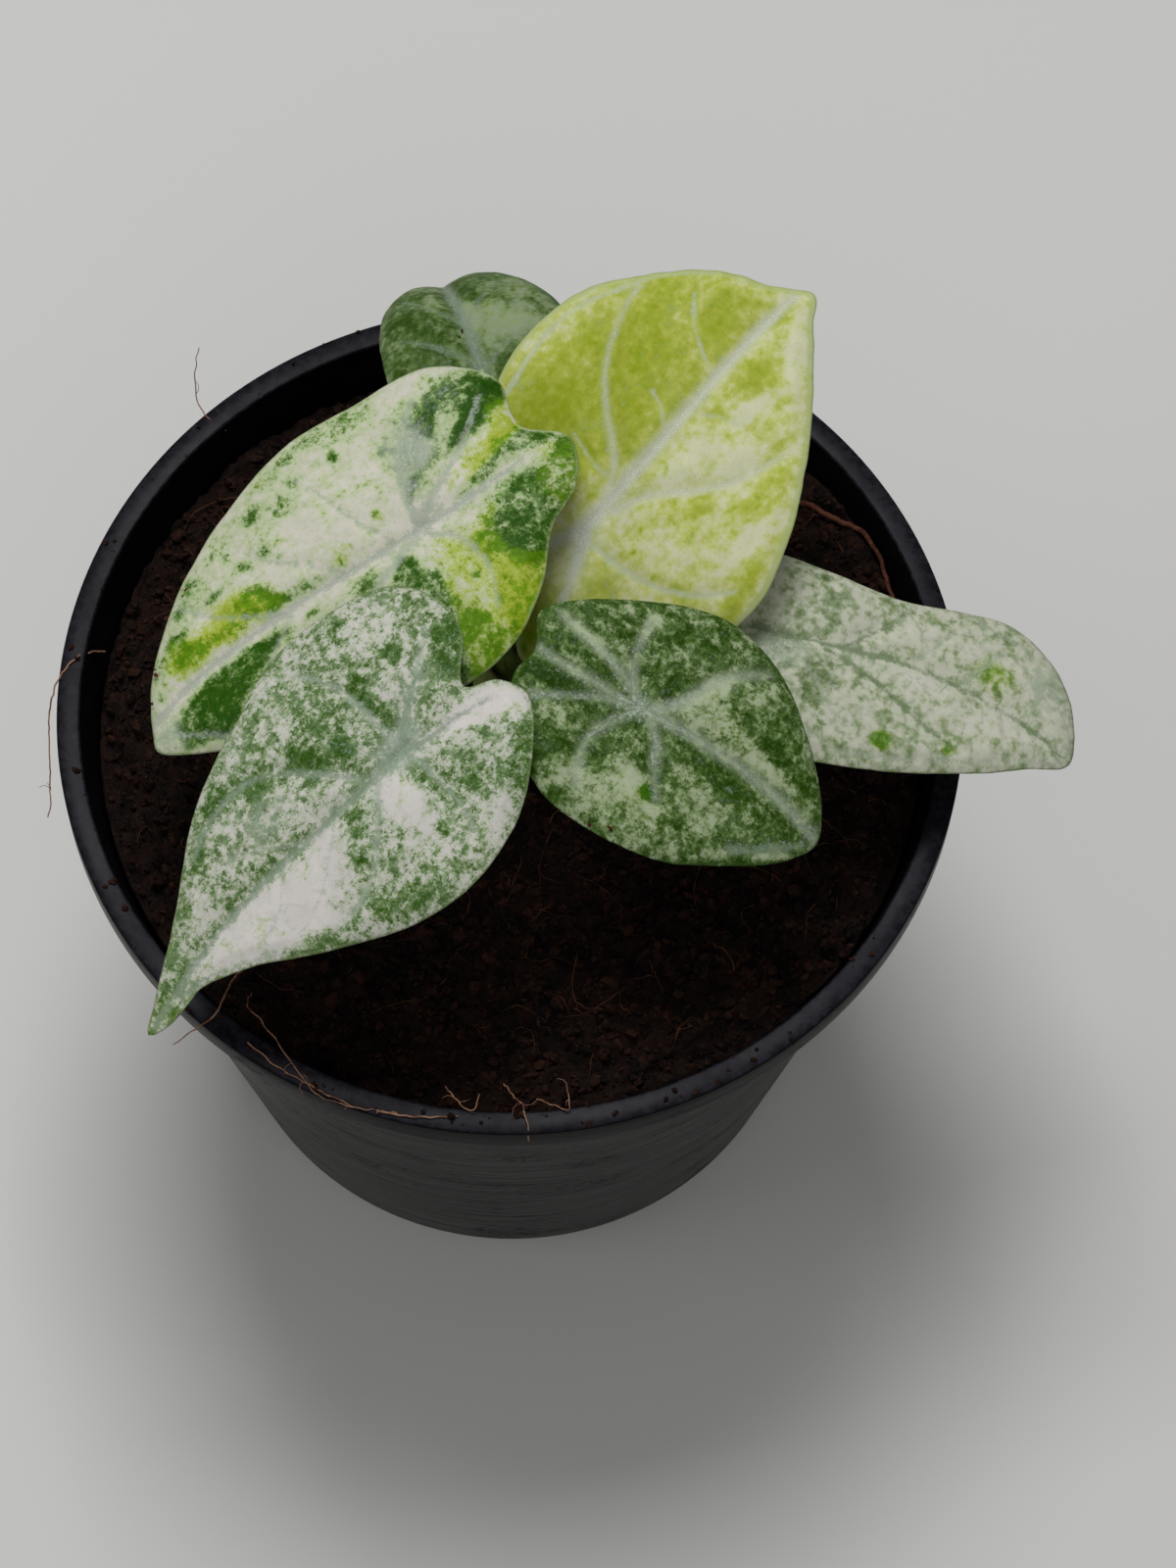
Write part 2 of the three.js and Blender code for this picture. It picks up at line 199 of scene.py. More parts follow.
# Leaf markings: green speckle over a pale ground, lime patches, silvery veins and margin.
# The mesh carries where each of them is strong; the noises break them into cells.
def leafMarkings():
    grey = (0.5, 0.5, 0.5, 1)
    group, given, out = newGroup(
        "leafMarkings",
        [("Ground", "Color", grey), ("Lime", "Color", grey), ("LimeDeep", "Color", grey),
         ("Haze", "Color", grey), ("Speckle", "Color", grey), ("Bright", "Color", grey),
         ("Deep", "Color", grey), ("Silver", "Color", grey), ("Rib", "Color", grey),
         ("Margin", "Color", grey), ("MarginWidth", "Float", 0.5), ("RibStrength", "Float", 0.8),
         ("RibSoftness", "Float", 0.3), ("VeinStrength", "Float", 0.6), ("Net", "Float", 0.2),
         ("HazeLevel", "Float", 0.1), ("FleckLevel", "Float", -0.5), ("GrainGlint", "Float", 0.6),
         ("Fineness", "Float", 1.0), ("Ragged", "Float", 1.0)],
        [("Color", "Color"), ("Roughness", "Float"), ("Height", "Float")],
    )
    flat = attribute(group, "flatPlace", "Vector")
    green, lime, silver = (attribute(group, name) for name in ("green", "lime", "silver"))
    rib, vein, edge = (attribute(group, name) for name in ("rib", "vein", "edge"))

    def plus(*parts):
        total = parts[0]
        for part in parts[1:]:
            total = math2(group, "ADD", total, part)
        return total

    def times(a, b):
        return math2(group, "MULTIPLY", a, b)

    def swing(field, amount):
        return times(math2(group, "SUBTRACT", field, 0.5), amount)

    # noises, each at its scale per mm, detail and roughness
    clouds = noiseAt(group, flat, 0.3, 2, 0.5)
    clusters = noiseAt(group, shifted(group, flat, (9, 2, 5)), 0.85, 2, 0.6)
    cells = noiseAt(group, flat, 2.0, 2, 0.6)
    cellsToo = noiseAt(group, shifted(group, flat, (31, 7, 3)), 1.5, 4, 0.7)
    flecks = noiseAt(group, shifted(group, flat, (5, 43, 9)), 4.6, 2, 0.6)
    grain = noiseAt(group, shifted(group, flat, (2, 9, 21)), 6.5, 2, 0.6)
    fine = times(swing(flecks, 0.9), given["Fineness"])
    crisp = plus(0.45, times(given["Fineness"], 0.55))

    # streaks that run out from the hub, seamless all the way round it
    parts = add(group, "SeparateXYZ", Vector=flat).outputs
    plane = add(group, "CombineXYZ", X=parts["X"], Y=parts["Y"]).outputs[0]
    heading = add(group, "VectorMath", {"operation": "NORMALIZE"}, Vector=plane).outputs[0]
    around = add(group, "VectorMath", {"operation": "SCALE"}, Vector=heading, Scale=4.5).outputs[0]
    reach = add(group, "VectorMath", {"operation": "LENGTH"}, Vector=plane).outputs["Value"]
    outward = add(group, "CombineXYZ", Z=plus(times(reach, 0.3), times(parts["Z"], 3.0))).outputs[0]
    streaks = noiseAt(group, shifted(group, around, outward), 1.0, 5, 0.7)
    mottle = plus(swing(clouds, 0.9), swing(clusters, 1.5), times(swing(cells, 1.1), crisp),
                  times(swing(streaks, 1.5), crisp), fine)
    spots = times(swing(cellsToo, 1.3), crisp)

    # pale ground, its fine net of veinlets, and lime patches over it
    hazeField = plus(green, given["HazeLevel"], times(mottle, 0.8), times(spots, 0.5))
    hazy = step(group, hazeField, -0.1, 0.8, 0.0, 0.92)
    ground = mixColours(group, hazy, given["Ground"], given["Haze"])
    warped = add(group, "Mix", {"data_type": "VECTOR"})
    feed(group, warped.inputs[0], 0.2)
    feed(group, warped.inputs[4], flat)
    feed(group, warped.inputs[5], add(group, "TexNoise", Vector=flat, Scale=0.9, Detail=3.0).outputs["Color"])
    net = add(group, "TexVoronoi", {"feature": "DISTANCE_TO_EDGE"}, Vector=warped.outputs[1], Scale=0.55)
    netMask = step(group, net.outputs["Distance"], 0.0, 0.1, 1.0, 0.0)
    netMask = times(netMask, step(group, clusters, 0.42, 0.6))
    ground = mixColours(group, times(netMask, given["Net"]), ground, given["Rib"])
    limeField = plus(lime, times(mottle, 0.7))
    limeTone = mixColours(group, step(group, plus(limeField, times(spots, 0.75)), 0.3, 1.2),
                          given["Lime"], given["LimeDeep"])
    colour = mixColours(group, step(group, limeField, 0.02, 0.7), ground, limeTone)

    # green speckle with darker hearts; bright green where the leaf is lime below
    field = plus(green, mottle, given["FleckLevel"])
    isBright = step(group, plus(lime, swing(clusters, 0.9)), 0.25, 0.6)
    speckTone = mixColours(group, isBright, given["Speckle"], given["Bright"])
    deepTone = mixColours(group, times(isBright, 0.6), given["Deep"], given["Bright"])
    speckled = step(group, field, -0.26, 0.34, 0.0, 0.85)
    colour = mixColours(group, speckled, colour, speckTone)
    hearts = plus(times(field, 0.7), spots, times(swing(grain, 0.8), given["Fineness"]))
    colour = mixColours(group, step(group, hearts, -0.12, 0.44), colour, deepTone)

    # silver bloom, then the veins, ragged at the edges and fading out along them
    bloom = plus(silver, swing(clusters, 0.7), swing(cells, 0.7), swing(streaks, 1.6), times(fine, 0.5))
    colour = mixColours(group, step(group, bloom, 0.1, 0.9, 0.0, 0.9), colour, given["Silver"])
    ragged = times(plus(swing(clusters, 0.9), swing(cells, 0.9), swing(streaks, 1.2), fine), given["Ragged"])
    veinMask = step(group, plus(vein, ragged), -0.3, 0.3)
    colour = mixColours(group, times(veinMask, given["VeinStrength"]), colour, given["Silver"])
    ribLow = times(given["RibSoftness"], -1.0)
    ribMask = step(group, plus(rib, ragged), ribLow, given["RibSoftness"])
    colour = mixColours(group, times(ribMask, given["RibStrength"]), colour, given["Rib"])
    border = plus(math2(group, "SUBTRACT", given["MarginWidth"], edge), times(ragged, 0.6))
    colour = mixColours(group, step(group, border, -0.25, 0.2, 0.0, 0.7), colour, given["Margin"])

    # skin cells: a fine grain of lighter and darker cells with painted glints on it, strongest on the veins
    grainGlintStrength = times(given["GrainGlint"], plus(0.3, ribMask, times(step(group, bloom, 0.2, 0.9), 0.5)))
    mesh = plus(swing(flecks, 1.1), swing(cells, 1.1), swing(streaks, 1.2))
    mesh = times(mesh, plus(0.12, speckled))
    grainGlintFactor = plus(1.0, times(math2(group, "SUBTRACT", grain, 0.5), grainGlintStrength), mesh, swing(clouds, 0.2))
    grainGlintGrey = add(group, "CombineColor", Red=grainGlintFactor, Green=grainGlintFactor, Blue=grainGlintFactor)
    colour = mixColours(group, 1.0, colour, grainGlintGrey.outputs[0], "MULTIPLY")
    feed(group, out["Color"], colour)
    feed(group, out["Roughness"], step(group, cells, 0.3, 0.7, 0.42, 0.58))
    feed(group, out["Height"], plus(times(grain, 0.5), times(flecks, 0.5), times(netMask, -0.3)))
    return group


markings = leafMarkings()

paleLeaf = {
    "Ground": tone(205, 201, 197), "Lime": tone(166, 184, 92), "LimeDeep": tone(128, 158, 40),
    "Haze": tone(160, 176, 140), "Speckle": tone(102, 132, 70), "Bright": tone(90, 136, 12),
    "Deep": tone(50, 84, 14), "Silver": tone(150, 162, 148), "Rib": tone(130, 146, 126),
    "Margin": tone(118, 138, 88), "MarginWidth": 0.12, "RibStrength": 0.8, "RibSoftness": 0.36,
    "VeinStrength": 0.62, "Net": 0.12, "HazeLevel": 0.2, "FleckLevel": -0.46, "GrainGlint": 0.8,
    "Fineness": 1.0, "Ragged": 1.0,
}
palettes = {
    "leaf_front_white": {**paleLeaf, "Speckle": tone(96, 126, 64), "Deep": tone(46, 80, 12),
                         "HazeLevel": 0.08, "Fineness": 1.2},
    "leaf_right_white": {**paleLeaf, "Ground": tone(204, 203, 190), "Haze": tone(168, 178, 148),
                         "Speckle": tone(122, 140, 96), "Deep": tone(78, 100, 54), "Rib": tone(108, 126, 92),
                         "Net": 0.36, "HazeLevel": 0.14, "Fineness": 0.25, "RibSoftness": 0.34,
                         "Silver": tone(160, 170, 152)},
    "leaf_left_cream": {**paleLeaf, "Ground": tone(206, 202, 191), "Lime": tone(174, 188, 90),
                        "LimeDeep": tone(142, 158, 20), "Haze": tone(168, 186, 136),
                        "Speckle": tone(90, 128, 42), "Bright": tone(96, 140, 10),
                        "Deep": tone(38, 76, 8), "Silver": tone(158, 168, 152),
                        "Rib": tone(166, 172, 160), "Margin": tone(150, 170, 116), "RibStrength": 0.85,
                        "RibSoftness": 0.34, "Net": 0.06, "HazeLevel": 0.28, "FleckLevel": -0.54,
                        "GrainGlint": 1.1},
    "leaf_lime_upright": {**paleLeaf, "Ground": tone(203, 205, 172), "Lime": tone(180, 187, 88),
                          "LimeDeep": tone(138, 153, 26), "Haze": tone(188, 195, 134),
                          "Speckle": tone(142, 164, 34), "Bright": tone(106, 152, 10),
                          "Deep": tone(84, 134, 4), "Silver": tone(180, 189, 162),
                          "Rib": tone(190, 194, 182), "Margin": tone(172, 186, 124),
                          "MarginWidth": 0.7, "RibStrength": 0.85, "RibSoftness": 0.7, "VeinStrength": 0.75,
                          "Net": 0.0, "HazeLevel": 0.1, "GrainGlint": 0.9, "Fineness": 0.0, "Ragged": 0.7},
    "leaf_centre_dark": {**paleLeaf, "Ground": tone(174, 184, 154), "Haze": tone(126, 148, 96),
                         "Speckle": tone(76, 106, 42), "Bright": tone(60, 116, 0), "Deep": tone(34, 62, 2),
                         "Silver": tone(140, 156, 136), "Rib": tone(164, 174, 158),
                         "Margin": tone(52, 80, 26),
                         "RibStrength": 0.66, "RibSoftness": 0.8, "VeinStrength": 0.5, "Net": 0.0,
                         "HazeLevel": 0.0, "FleckLevel": -0.48, "GrainGlint": 1.4, "Fineness": 0.85,
                         "Ragged": 1.6},
    "leaf_back_dark": {**paleLeaf, "Ground": tone(142, 156, 124), "Haze": tone(108, 130, 80),
                       "Speckle": tone(76, 102, 44), "Bright": tone(78, 114, 24), "Deep": tone(44, 70, 10),
                       "Silver": tone(124, 140, 120), "Rib": tone(130, 144, 128), "Margin": tone(54, 80, 32),
                       "RibSoftness": 0.5, "VeinStrength": 0.45, "Net": 0.0, "HazeLevel": 0.0,
                       "FleckLevel": -0.54, "Fineness": 0.25},
}
skin = {"relief": (0.35, 0.05), "specular": 0.05, "underside": tone(128, 150, 104), "dulling": 0.5}


def leafMaterial(name, palette, under=False):
    material, tree, shader = newMaterial(name)
    marks = placeGroup(tree, markings, **palette)
    colour = marks["Color"]
    if under:
        colour = mixColours(tree, skin["dulling"], colour, skin["underside"])
    dress(tree, shader, colour, marks["Roughness"], marks["Height"], skin["relief"], skin["specular"])
    return material


def stalkMaterial():
    material, tree, shader = newMaterial("stalkSkin")
    place = add(tree, "TexCoord").outputs["Object"]
    stretched = add(tree, "Mapping", Vector=place, Scale=(1400, 1400, 160)).outputs[0]
    streaks = noiseAt(tree, stretched, 1.0, 3, 0.6)
    blotches = noiseAt(tree, place, 420, 3, 0.6)
    colour = mixColours(tree, step(tree, streaks, 0.35, 0.65), tone(150, 170, 92), tone(112, 140, 66))
    colour = mixColours(tree, step(tree, blotches, 0.54, 0.66), colour, tone(96, 84, 52))
    dress(tree, shader, colour, step(tree, blotches, 0.3, 0.7, 0.38, 0.55), streaks, (0.3, 0.08))
    return material


stalkSkin = stalkMaterial()


# Shapes are made in mm; a piece is the finished mesh in metres
def newPiece(name, mesh, materials, slot, *nodes, smooth=True):
    mesh.transform(Matrix.Scale(mm, 4))
    if smooth:
        mesh.polygons.foreach_set("use_smooth", [True] * len(mesh.polygons))
    obj = placed(name, mesh)
    for material in materials:
        mesh.materials.append(material)
    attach(obj, "root")
    if nodes:
        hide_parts(*nodes)


def fromBmesh(bm, name):
    mesh = bpy.data.meshes.new(name)
    bm.to_mesh(mesh)
    bm.free()
    return mesh


# Modifiers and curves are turned into plain meshes once they are right
def baked(obj):
    bpy.context.view_layer.update()
    final = obj.evaluated_get(bpy.context.evaluated_depsgraph_get())
    mesh = bpy.data.meshes.new_from_object(final)
    bpy.data.objects.remove(obj)
    return mesh


def joined(meshes):
    bm = bmesh.new()
    for mesh in meshes:
        bm.from_mesh(mesh)
    return fromBmesh(bm, "joined")


# A profile of radius and height, turned round the z axis; closed up where its ends meet
def spun(profile, steps, angle=2 * math.pi, merge=1e-5):
    bm = bmesh.new()
    row = [bm.verts.new((radius, 0, height)) for radius, height in profile]
    edges = [bm.edges.new(pair) for pair in zip(row, row[1:])]
    bmesh.ops.spin(bm, geom=row + edges, cent=(0, 0, 0), axis=(0, 0, 1), angle=angle, steps=steps,
                   use_merge=merge > 0)
    if merge > 0:
        bmesh.ops.remove_doubles(bm, verts=bm.verts, dist=merge)
        bmesh.ops.recalc_face_normals(bm, faces=bm.faces)
    return bm


def roundEdges(bm, width, segments=3, sharp=25):
    edges = [e for e in bm.edges if len(e.link_faces) == 2 and e.calc_face_angle() > sharp * deg]
    bmesh.ops.bevel(bm, geom=edges, offset=width, offset_type="OFFSET", segments=segments, profile=0.5,
                    affect="EDGES", material=-1)


# The value at a place on the straight run from start, at low, to end, at high
def between(place, low, high, start, end):
    return (high - place) / (high - low) * start + (place - low) / (high - low) * end


# A closed curve through the outline's points, in steps of equal length
def closedCurve(points, count):
    points = [np.array(p, float) for p in points]
    dense = []
    for i in range(len(points)):
        p0, p1, p2, p3 = (points[(i + k) % len(points)] for k in (-1, 0, 1, 2))
        t1 = np.linalg.norm(p1 - p0) ** 0.5
        t2 = t1 + np.linalg.norm(p2 - p1) ** 0.5
        t3 = t2 + np.linalg.norm(p3 - p2) ** 0.5
        t = np.linspace(t1, t2, 24, endpoint=False)[:, None]
        a1, a2 = between(t, 0, t1, p0, p1), between(t, t1, t2, p1, p2)
        a3 = between(t, t2, t3, p2, p3)
        b1, b2 = between(t, 0, t2, a1, a2), between(t, t1, t3, a2, a3)
        dense.append(between(t, t1, t2, b1, b2))
    dense = np.vstack(dense + [dense[0][:1]])
    along = np.r_[0, np.cumsum(np.linalg.norm(np.diff(dense, axis=0), axis=1))]
    even = np.linspace(0, along[-1], count, endpoint=False)
    return np.stack([np.interp(even, along, dense[:, k]) for k in (0, 1)], 1)


# An open curve, rounded through its points by repeated corner cutting
def openCurve(points, rounds=3):
    line = np.array(points, float)
    for _ in range(rounds):
        near = line[:-1] * 0.75 + line[1:] * 0.25
        far = line[:-1] * 0.25 + line[1:] * 0.75
        line = np.vstack([line[:1], np.stack([near, far], 1).reshape(-1, line.shape[1]), line[-1:]])
    return line


# Distance of many flat points to a line, and how far along it the nearest place is (0 to 1)
def lineDistance(spots, line):
    best = np.full(len(spots), 1e9)
    share = np.zeros(len(spots))
    for k in range(len(line) - 1):
        start, run = line[k], line[k + 1] - line[k]
        t = np.clip(((spots - start) @ run) / max(run @ run, 1e-9), 0, 1)
        away = np.linalg.norm(spots - start - t[:, None] * run, axis=1)
        closer = away < best
        best[closer] = away[closer]
        share[closer] = (k + t[closer]) / (len(line) - 1)
    return best, share


blade = {
    "rings": 88, "spokes": 256,
    "thickness": 0.5,         # mm
    "thinEdge": 0.35,         # share of the thickness left at the very edge
    "thinFrom": 0.7,          # mm from the edge where it starts to thin
    "edgeFade": 2.0,          # mm over which the relief fades out to the edge
    "ribWidth": 0.55,         # mm, how wide the midrib's own dip is
    "grooveWidth": 3.0,       # mm
    "hubFlat": 6.0,           # mm
    "puff": 0.65,             # mm that the panels stand over the veins
    "dents": {"rib": (1.0, 1.5), "vein": (0.4, 0.9)},  # how deep and how wide (mm) each kind lies in them
    "edgeWobble": 0.006,      # share of the reach that the outline is uneven by
    "ribDepth": 0.28,         # mm that the midrib lies under its own edges
    "ripple": 0.07,           # mm of unevenness over the panels
}
stalk = {
    "footRadius": 1.6, "topRadius": 1.15, "flare": 1.0, "neck": 7.0,
    "socketRing": 4.6, "socketDepth": 5.0, "rise": 5.0, "mixBelowRim": 7.0, "place": (3, 4), "steps": 48,
    "bow": 0.06,              # share of its free length that it bows up by
    "sides": 16,
}
mixTop = rimTop - stalk["mixBelowRim"]
crownTop = mixTop + stalk["rise"]

# hub: mm, its height from the rim's top; heading, pitch, roll in degrees; bend and camber in degrees a mm
# outline: [along, left] in mm of the flattened blade, from the tip round by the left
# veins: kind, width at the hub end, width at the far end, points
# patches, by what they mark: along, left, half length, half width, turn, strength
# areas, by what they mark: strength, softness, points round them
leaves = [
    {
        "name": "leafBackDark", "node": "leaf_back_dark", "slot": "leaf_dark", "foot": 105,
        "hub": (-3.7, 29.4, 19), "heading": 109, "pitch": 0, "roll": -2,
        "bend": (2.7, 2), "camber": 2.1, "groove": 0.6, "wave": (0.2, 4), "seed": 11,
        "outline": [
            [27, 0], [24, 4], [19, 7], [12, 9.4], [4, 10.2], [-3, 9.6], [-6.5, 7], [-7.5, 3.5], [-6, 0],
            [-7.5, -3.5], [-6.5, -7.5], [-3, -10.5], [4, -11.8], [12, -11], [19, -8.5], [24, -4.5],
        ],
        "ground": {"green": 0.62, "lime": 0.1, "silver": 0.05},
        "veins": [
            ("rib", 1.5, 0.9, [(0, 0), (6, 0), (12, 0), (20, 0), (26, 0)]),
            ("vein", 0.9, 0.4, [(3, 1), (6, 4), (9, 7.5)]),
            ("vein", 0.8, 0.4, [(2, -0.5), (4, -3.5), (5.5, -7.5)]),
            ("vein", 0.7, 0.3, [(9, -0.5), (13, -3.5), (16, -6)]),
            ("vein", 0.7, 0.3, [(9, 0.5), (13, 3.2), (16, 5)]),
        ],
        "patches": {
            "green": [(7, 4, 5, 3, 10, 0.18), (8, -3, 3.5, 2.5, 0, -0.3), (6.5, -6.5, 2, 2, 0, -0.4),
                (10, -0.9, 2.8, 0.8, 0, -0.7), (13, 2.5, 3, 0.9, 0, -0.3), (15.5, -2, 3, 1.2, 0, 0.3),
                (13, -7, 3, 2, 20, -0.25), (12, 6.5, 3, 2, 0, 0.2)],
        },
        "areas": {
            "green": [
                (-0.12, 1.6, [(4, -1), (9, -1.2), (12, -2.4), (10, -4.6), (6, -6.6), (4.4, -4)]),
            ],
            "silver": [
                (0.14, 1.5, [(2, -1), (8, -1.6), (12, -1), (9, -5), (6, -9), (3, -6)]),
            ],
        },
    },
    {
        "name": "leafLimeUpright", "node": "leaf_lime_upright", "slot": "leaf_lime", "foot": None,
        "hub": (7.9, 11.8, 20), "heading": 45.7, "pitch": 24.5, "roll": 0,
        "bend": (0.45, 1), "camber": 0.4, "groove": 0.4, "wave": (0.4, 5), "seed": 23,
        "outline": [
            [35, 0], [32.4, 4.2], [29.4, 10], [24, 15.4], [18.5, 19.4], [12.5, 20.6], [6.5, 19.8],
            [0, 16.5], [-6, 12], [-10, 8], [-12, 3.5], [-10.5, 0.3], [-14, -1.5], [-15.6, -3.6], [-13, -9],
            [-8, -14], [-3, -17.5], [3.2, -19.4], [8.5, -19.2], [16.5, -15.8], [25, -9.6], [32.5, -2.5],
        ],
        "ground": {"green": 0.0, "lime": 0.36, "silver": 0.0},
        "veins": [
            ("rib", 2.2, 0.9, [(-1, 0.4), (5, 0.2), (12, 0.4), (20, 0.9), (28, 1.3), (33.5, 1.2)]),
            ("rib", 0.75, 0.3, [(3, 0.5), (6.5, 2), (8.5, 4), (10.5, 7), (13, 10), (16, 12.2), (20, 14),
                (23, 14.5)]),
            ("rib", 0.7, 0.3, [(3, -0.8), (7, -2.5), (10, -5.5), (13, -8), (16, -9.5), (20, -10.5)]),
            ("vein", 0.7, 0.4, [(-1, -1), (-0.7, -4), (0, -9), (1.5, -12.5), (4, -15.5), (6, -17)]),
            ("vein", 0.7, 0.4, [(5, 17.3), (9, 18.3), (14, 18.8), (18, 17.8), (21, 16), (25, 14.2),
                (28, 11), (29.5, 9)]),
            ("vein", 0.5, 0.2, [(5.5, 2.5), (5.7, 5), (6.5, 8)]),
            ("vein", 0.5, 0.2, [(21, 1.4), (23, 6), (26, 9)]),
            ("vein", 0.4, 0.2, [(13, 0.7), (15, 3), (15.5, 5)]),
            ("vein", 0.4, 0.2, [(17, -0.6), (18.5, -3), (19, -5)]),
            ("rib", 1.8, 0.6, [(-0.5, 0), (-4, -2.2), (-8, -3.6)]),
            ("rib", 1.6, 0.6, [(-0.5, 0.6), (-4, 2), (-8, 4)]),
        ],
        "patches": {
            "green": [(-14, -3, 2, 2, 0, 0.5)],
            "lime": [(14, 9, 15, 8, 0, 0.55), (27, 4.5, 4, 2.5, 0, 0.3), (4, 14, 6, 5, 30, 0.3),
                (24, -2.4, 3.2, 1.7, 0, 0.45), (18, -2, 1.3, 1.2, 0, 0.25), (23.8, -6, 0.9, 0.9, 0, 0.25),
                (7.5, -6, 3.5, 1.6, -30, 0.2), (10, -8.3, 1.6, 1.2, 0, 0.3), (15, -12.5, 4.5, 1.8, 0, 0.22),
                (20, -9.6, 2, 1, 0, 0.2), (-2.5, -5.5, 2, 2.4, 0, 0.3), (6, -17.4, 6, 1.3, 10, 0.4),
                (1.5, -13, 1.2, 3, 0, 0.25), (31, 0.2, 2, 0.8, 0, 0.3), (20.5, -4.5, 2, 1, 0, -0.45),
                (12, -3.2, 4, 1.4, -8, -0.35), (16, -7, 3.5, 1.8, -20, -0.3),
                (10.5, -14.8, 3, 1.6, 0, -0.35), (29, -4, 4, 1.5, 35, -0.45), (4, -9, 2.5, 3, 0, -0.12),
                (24, 8, 3, 1.6, 30, -0.2), (-12, -3, 5, 4, 0, 0.6), (-6, -7, 3.4, 3, 0, 0.3),
                (-7, 6, 3, 3, 0, 0.2)],
            # the wider silver patch is painted light: a paler tone over the back lobes that lifts the shadow
            # cast on them
            "silver": [(-1, 0, 2, 1.6, 0, 0.5), (-5, -3, 5, 6, 0, 0.3)],
        },
        "areas": {},
    },
    {
        "name": "leafLeftCream", "node": "leaf_left_cream", "slot": "leaf_cream", "foot": 157,
        "hub": (-9.9, 8.4, 25.5), "heading": -140.6, "pitch": -9.4, "roll": 0,
        "bend": (0.4, 0.6), "camber": 0.5, "groove": 0.4, "wave": (0.4, 5), "seed": 37,
        "outline": [
            [36.4, 0.1], [34.4, 2.4], [31, 5], [24, 9.5], [15, 14], [6.5, 16.8], [0, 16.6], [-6.5, 13],
            [-11, 8.8], [-16, 6.4], [-18.8, 1.6], [-15.5, -2.8], [-17, -9], [-12.5, -14.3], [-4, -16.2],
            [4.5, -17.4], [14, -15.6], [24, -12.2], [32, -6.5], [35.6, -2],
        ],
        "ground": {"green": -0.06, "lime": -0.1, "silver": -0.2},
        "veins": [
            ("rib", 0.8, 1.1, [(-1, 0.1), (4, -0.3), (8, -0.8), (15, -1.8), (22, -2.6), (29, -3),
                (35, -2.2)]),
            ("rib", 1.4, 0.4, [(-1, 0.2), (-5, 0.7), (-10, 1), (-13, 0.8)]),
            ("vein", 1.2, 0.4, [(-1, -0.5), (-5, -2.4), (-10, -5), (-14, -8)]),
            ("vein", 1.5, 0.6, [(-0.5, -1), (-1.5, -5), (-4.5, -9.5), (-8, -12)]),
            ("vein", 0.9, 0.4, [(0, 0.8), (-2.4, 3), (-3.2, 6), (-3, 9), (-1, 12.5)]),
            ("vein", 1.4, 0.5, [(1, 0.6), (4, 1.6), (7, 2.4), (11, 5)]),
            ("vein", 0.4, 0.2, [(3, -0.8), (5, -5), (5.5, -9), (7, -13)]),
            ("vein", 0.4, 0.2, [(9, -1.2), (12, -5), (15, -8), (17, -12)]),
            ("vein", 0.6, 0.3, [(17, -2.2), (21, -5), (24, -8), (25, -11)]),
            ("vein", 0.9, 0.4, [(29, 4.8), (31.5, 2.2), (34, 0.2)]),
            ("vein", 0.6, 0.3, [(16, -1.6), (20, 1), (25, 4), (28, 6)]),
        ],
        "patches": {
            "green": [(-9, 7, 3.4, 2.4, 20, 0.2), (-9, 2, 5, 1.6, 0, 0.35), (4.4, 1.8, 1.2, 1.1, 0, 0.2),
                (7.6, 1.4, 1.5, 1.0, 10, 0.75), (14.3, 0.2, 1.1, 0.5, 0, 0.7),
                (-1.3, 8.4, 0.5, 0.5, 0, 0.6), (14.2, -8.6, 0.9, 0.9, 0, 0.75),
                (16.7, -9.1, 1.2, 0.9, 0, 0.62), (21.2, -8.5, 1.1, 0.5, 5, 0.8),
                (13.2, -7.2, 0.4, 0.3, 0, 0.6), (2.2, -12.2, 0.7, 1.0, -10, 0.65),
                (2.7, -3.9, 0.5, 0.7, 0, 0.55), (8, -3, 1.8, 0.9, -10, 0.34),
                (12.6, -12.7, 1.5, 1, 0, 0.42), (9.4, -11.2, 2, 1.3, 0, 0.3),
                (10, -15.3, 2.6, 0.8, 8, 0.36), (4.6, -15.8, 2.6, 0.7, -4, 0.3),
                (7.6, -12.8, 0.7, 0.9, 0, 0.4), (27.2, -7.4, 1.1, 0.9, 0, 0.42), (26.4, -5.2, 2, 1, 0, 0.3),
                (20, -3.9, 1.6, 0.6, 0, 0.3)],
            "lime": [(-14.6, -6.2, 2, 1.4, 30, 0.6), (2.7, -3.9, 0.8, 0.9, 0, 0.4),
                (8, -3, 1.8, 1, -10, 0.45), (10, -15.3, 2.4, 0.8, 8, 0.5)],
            "silver": [(34, -0.6, 2.6, 3, 0, 0.7), (-1.5, -0.5, 3, 2.2, 0, 0.75),
                (5.4, 1.2, 2.6, 1.2, 20, 0.5), (11, -0.2, 5, 0.8, -4, 0.4)],
        },
        "areas": {
            "green": [
                (0.74, 0.9, [(-20, 3.6), (-17, 7.8), (-12.4, 9.6), (-9, 11), (-7, 12), (-5, 9), (-3.9, 6.6),
                    (-5, 4), (-8, 3.3), (-11, 2.2), (-14.4, 2.2), (-19, 0.6)]),
                (0.72, 0.5, [(-17.8, 0.8), (-12, 0.1), (-7, 0.3), (-4.4, 0.1), (-6.4, -0.6), (-10, -1.3),
                    (-13.6, -2.6), (-15.2, -3), (-16.6, -1.2)]),
                (0.28, 0.5, [(-13, -2.4), (-9, -1.1), (-7.4, -1), (-9.4, -2), (-12.6, -3.2)]),
                (0.76, 0.55, [(-7.6, -4.6), (-11, -4.9), (-14, -5.7), (-16, -6.4), (-17, -8.4), (-15, -9.7),
                    (-12, -7.8), (-9, -5.8)]),
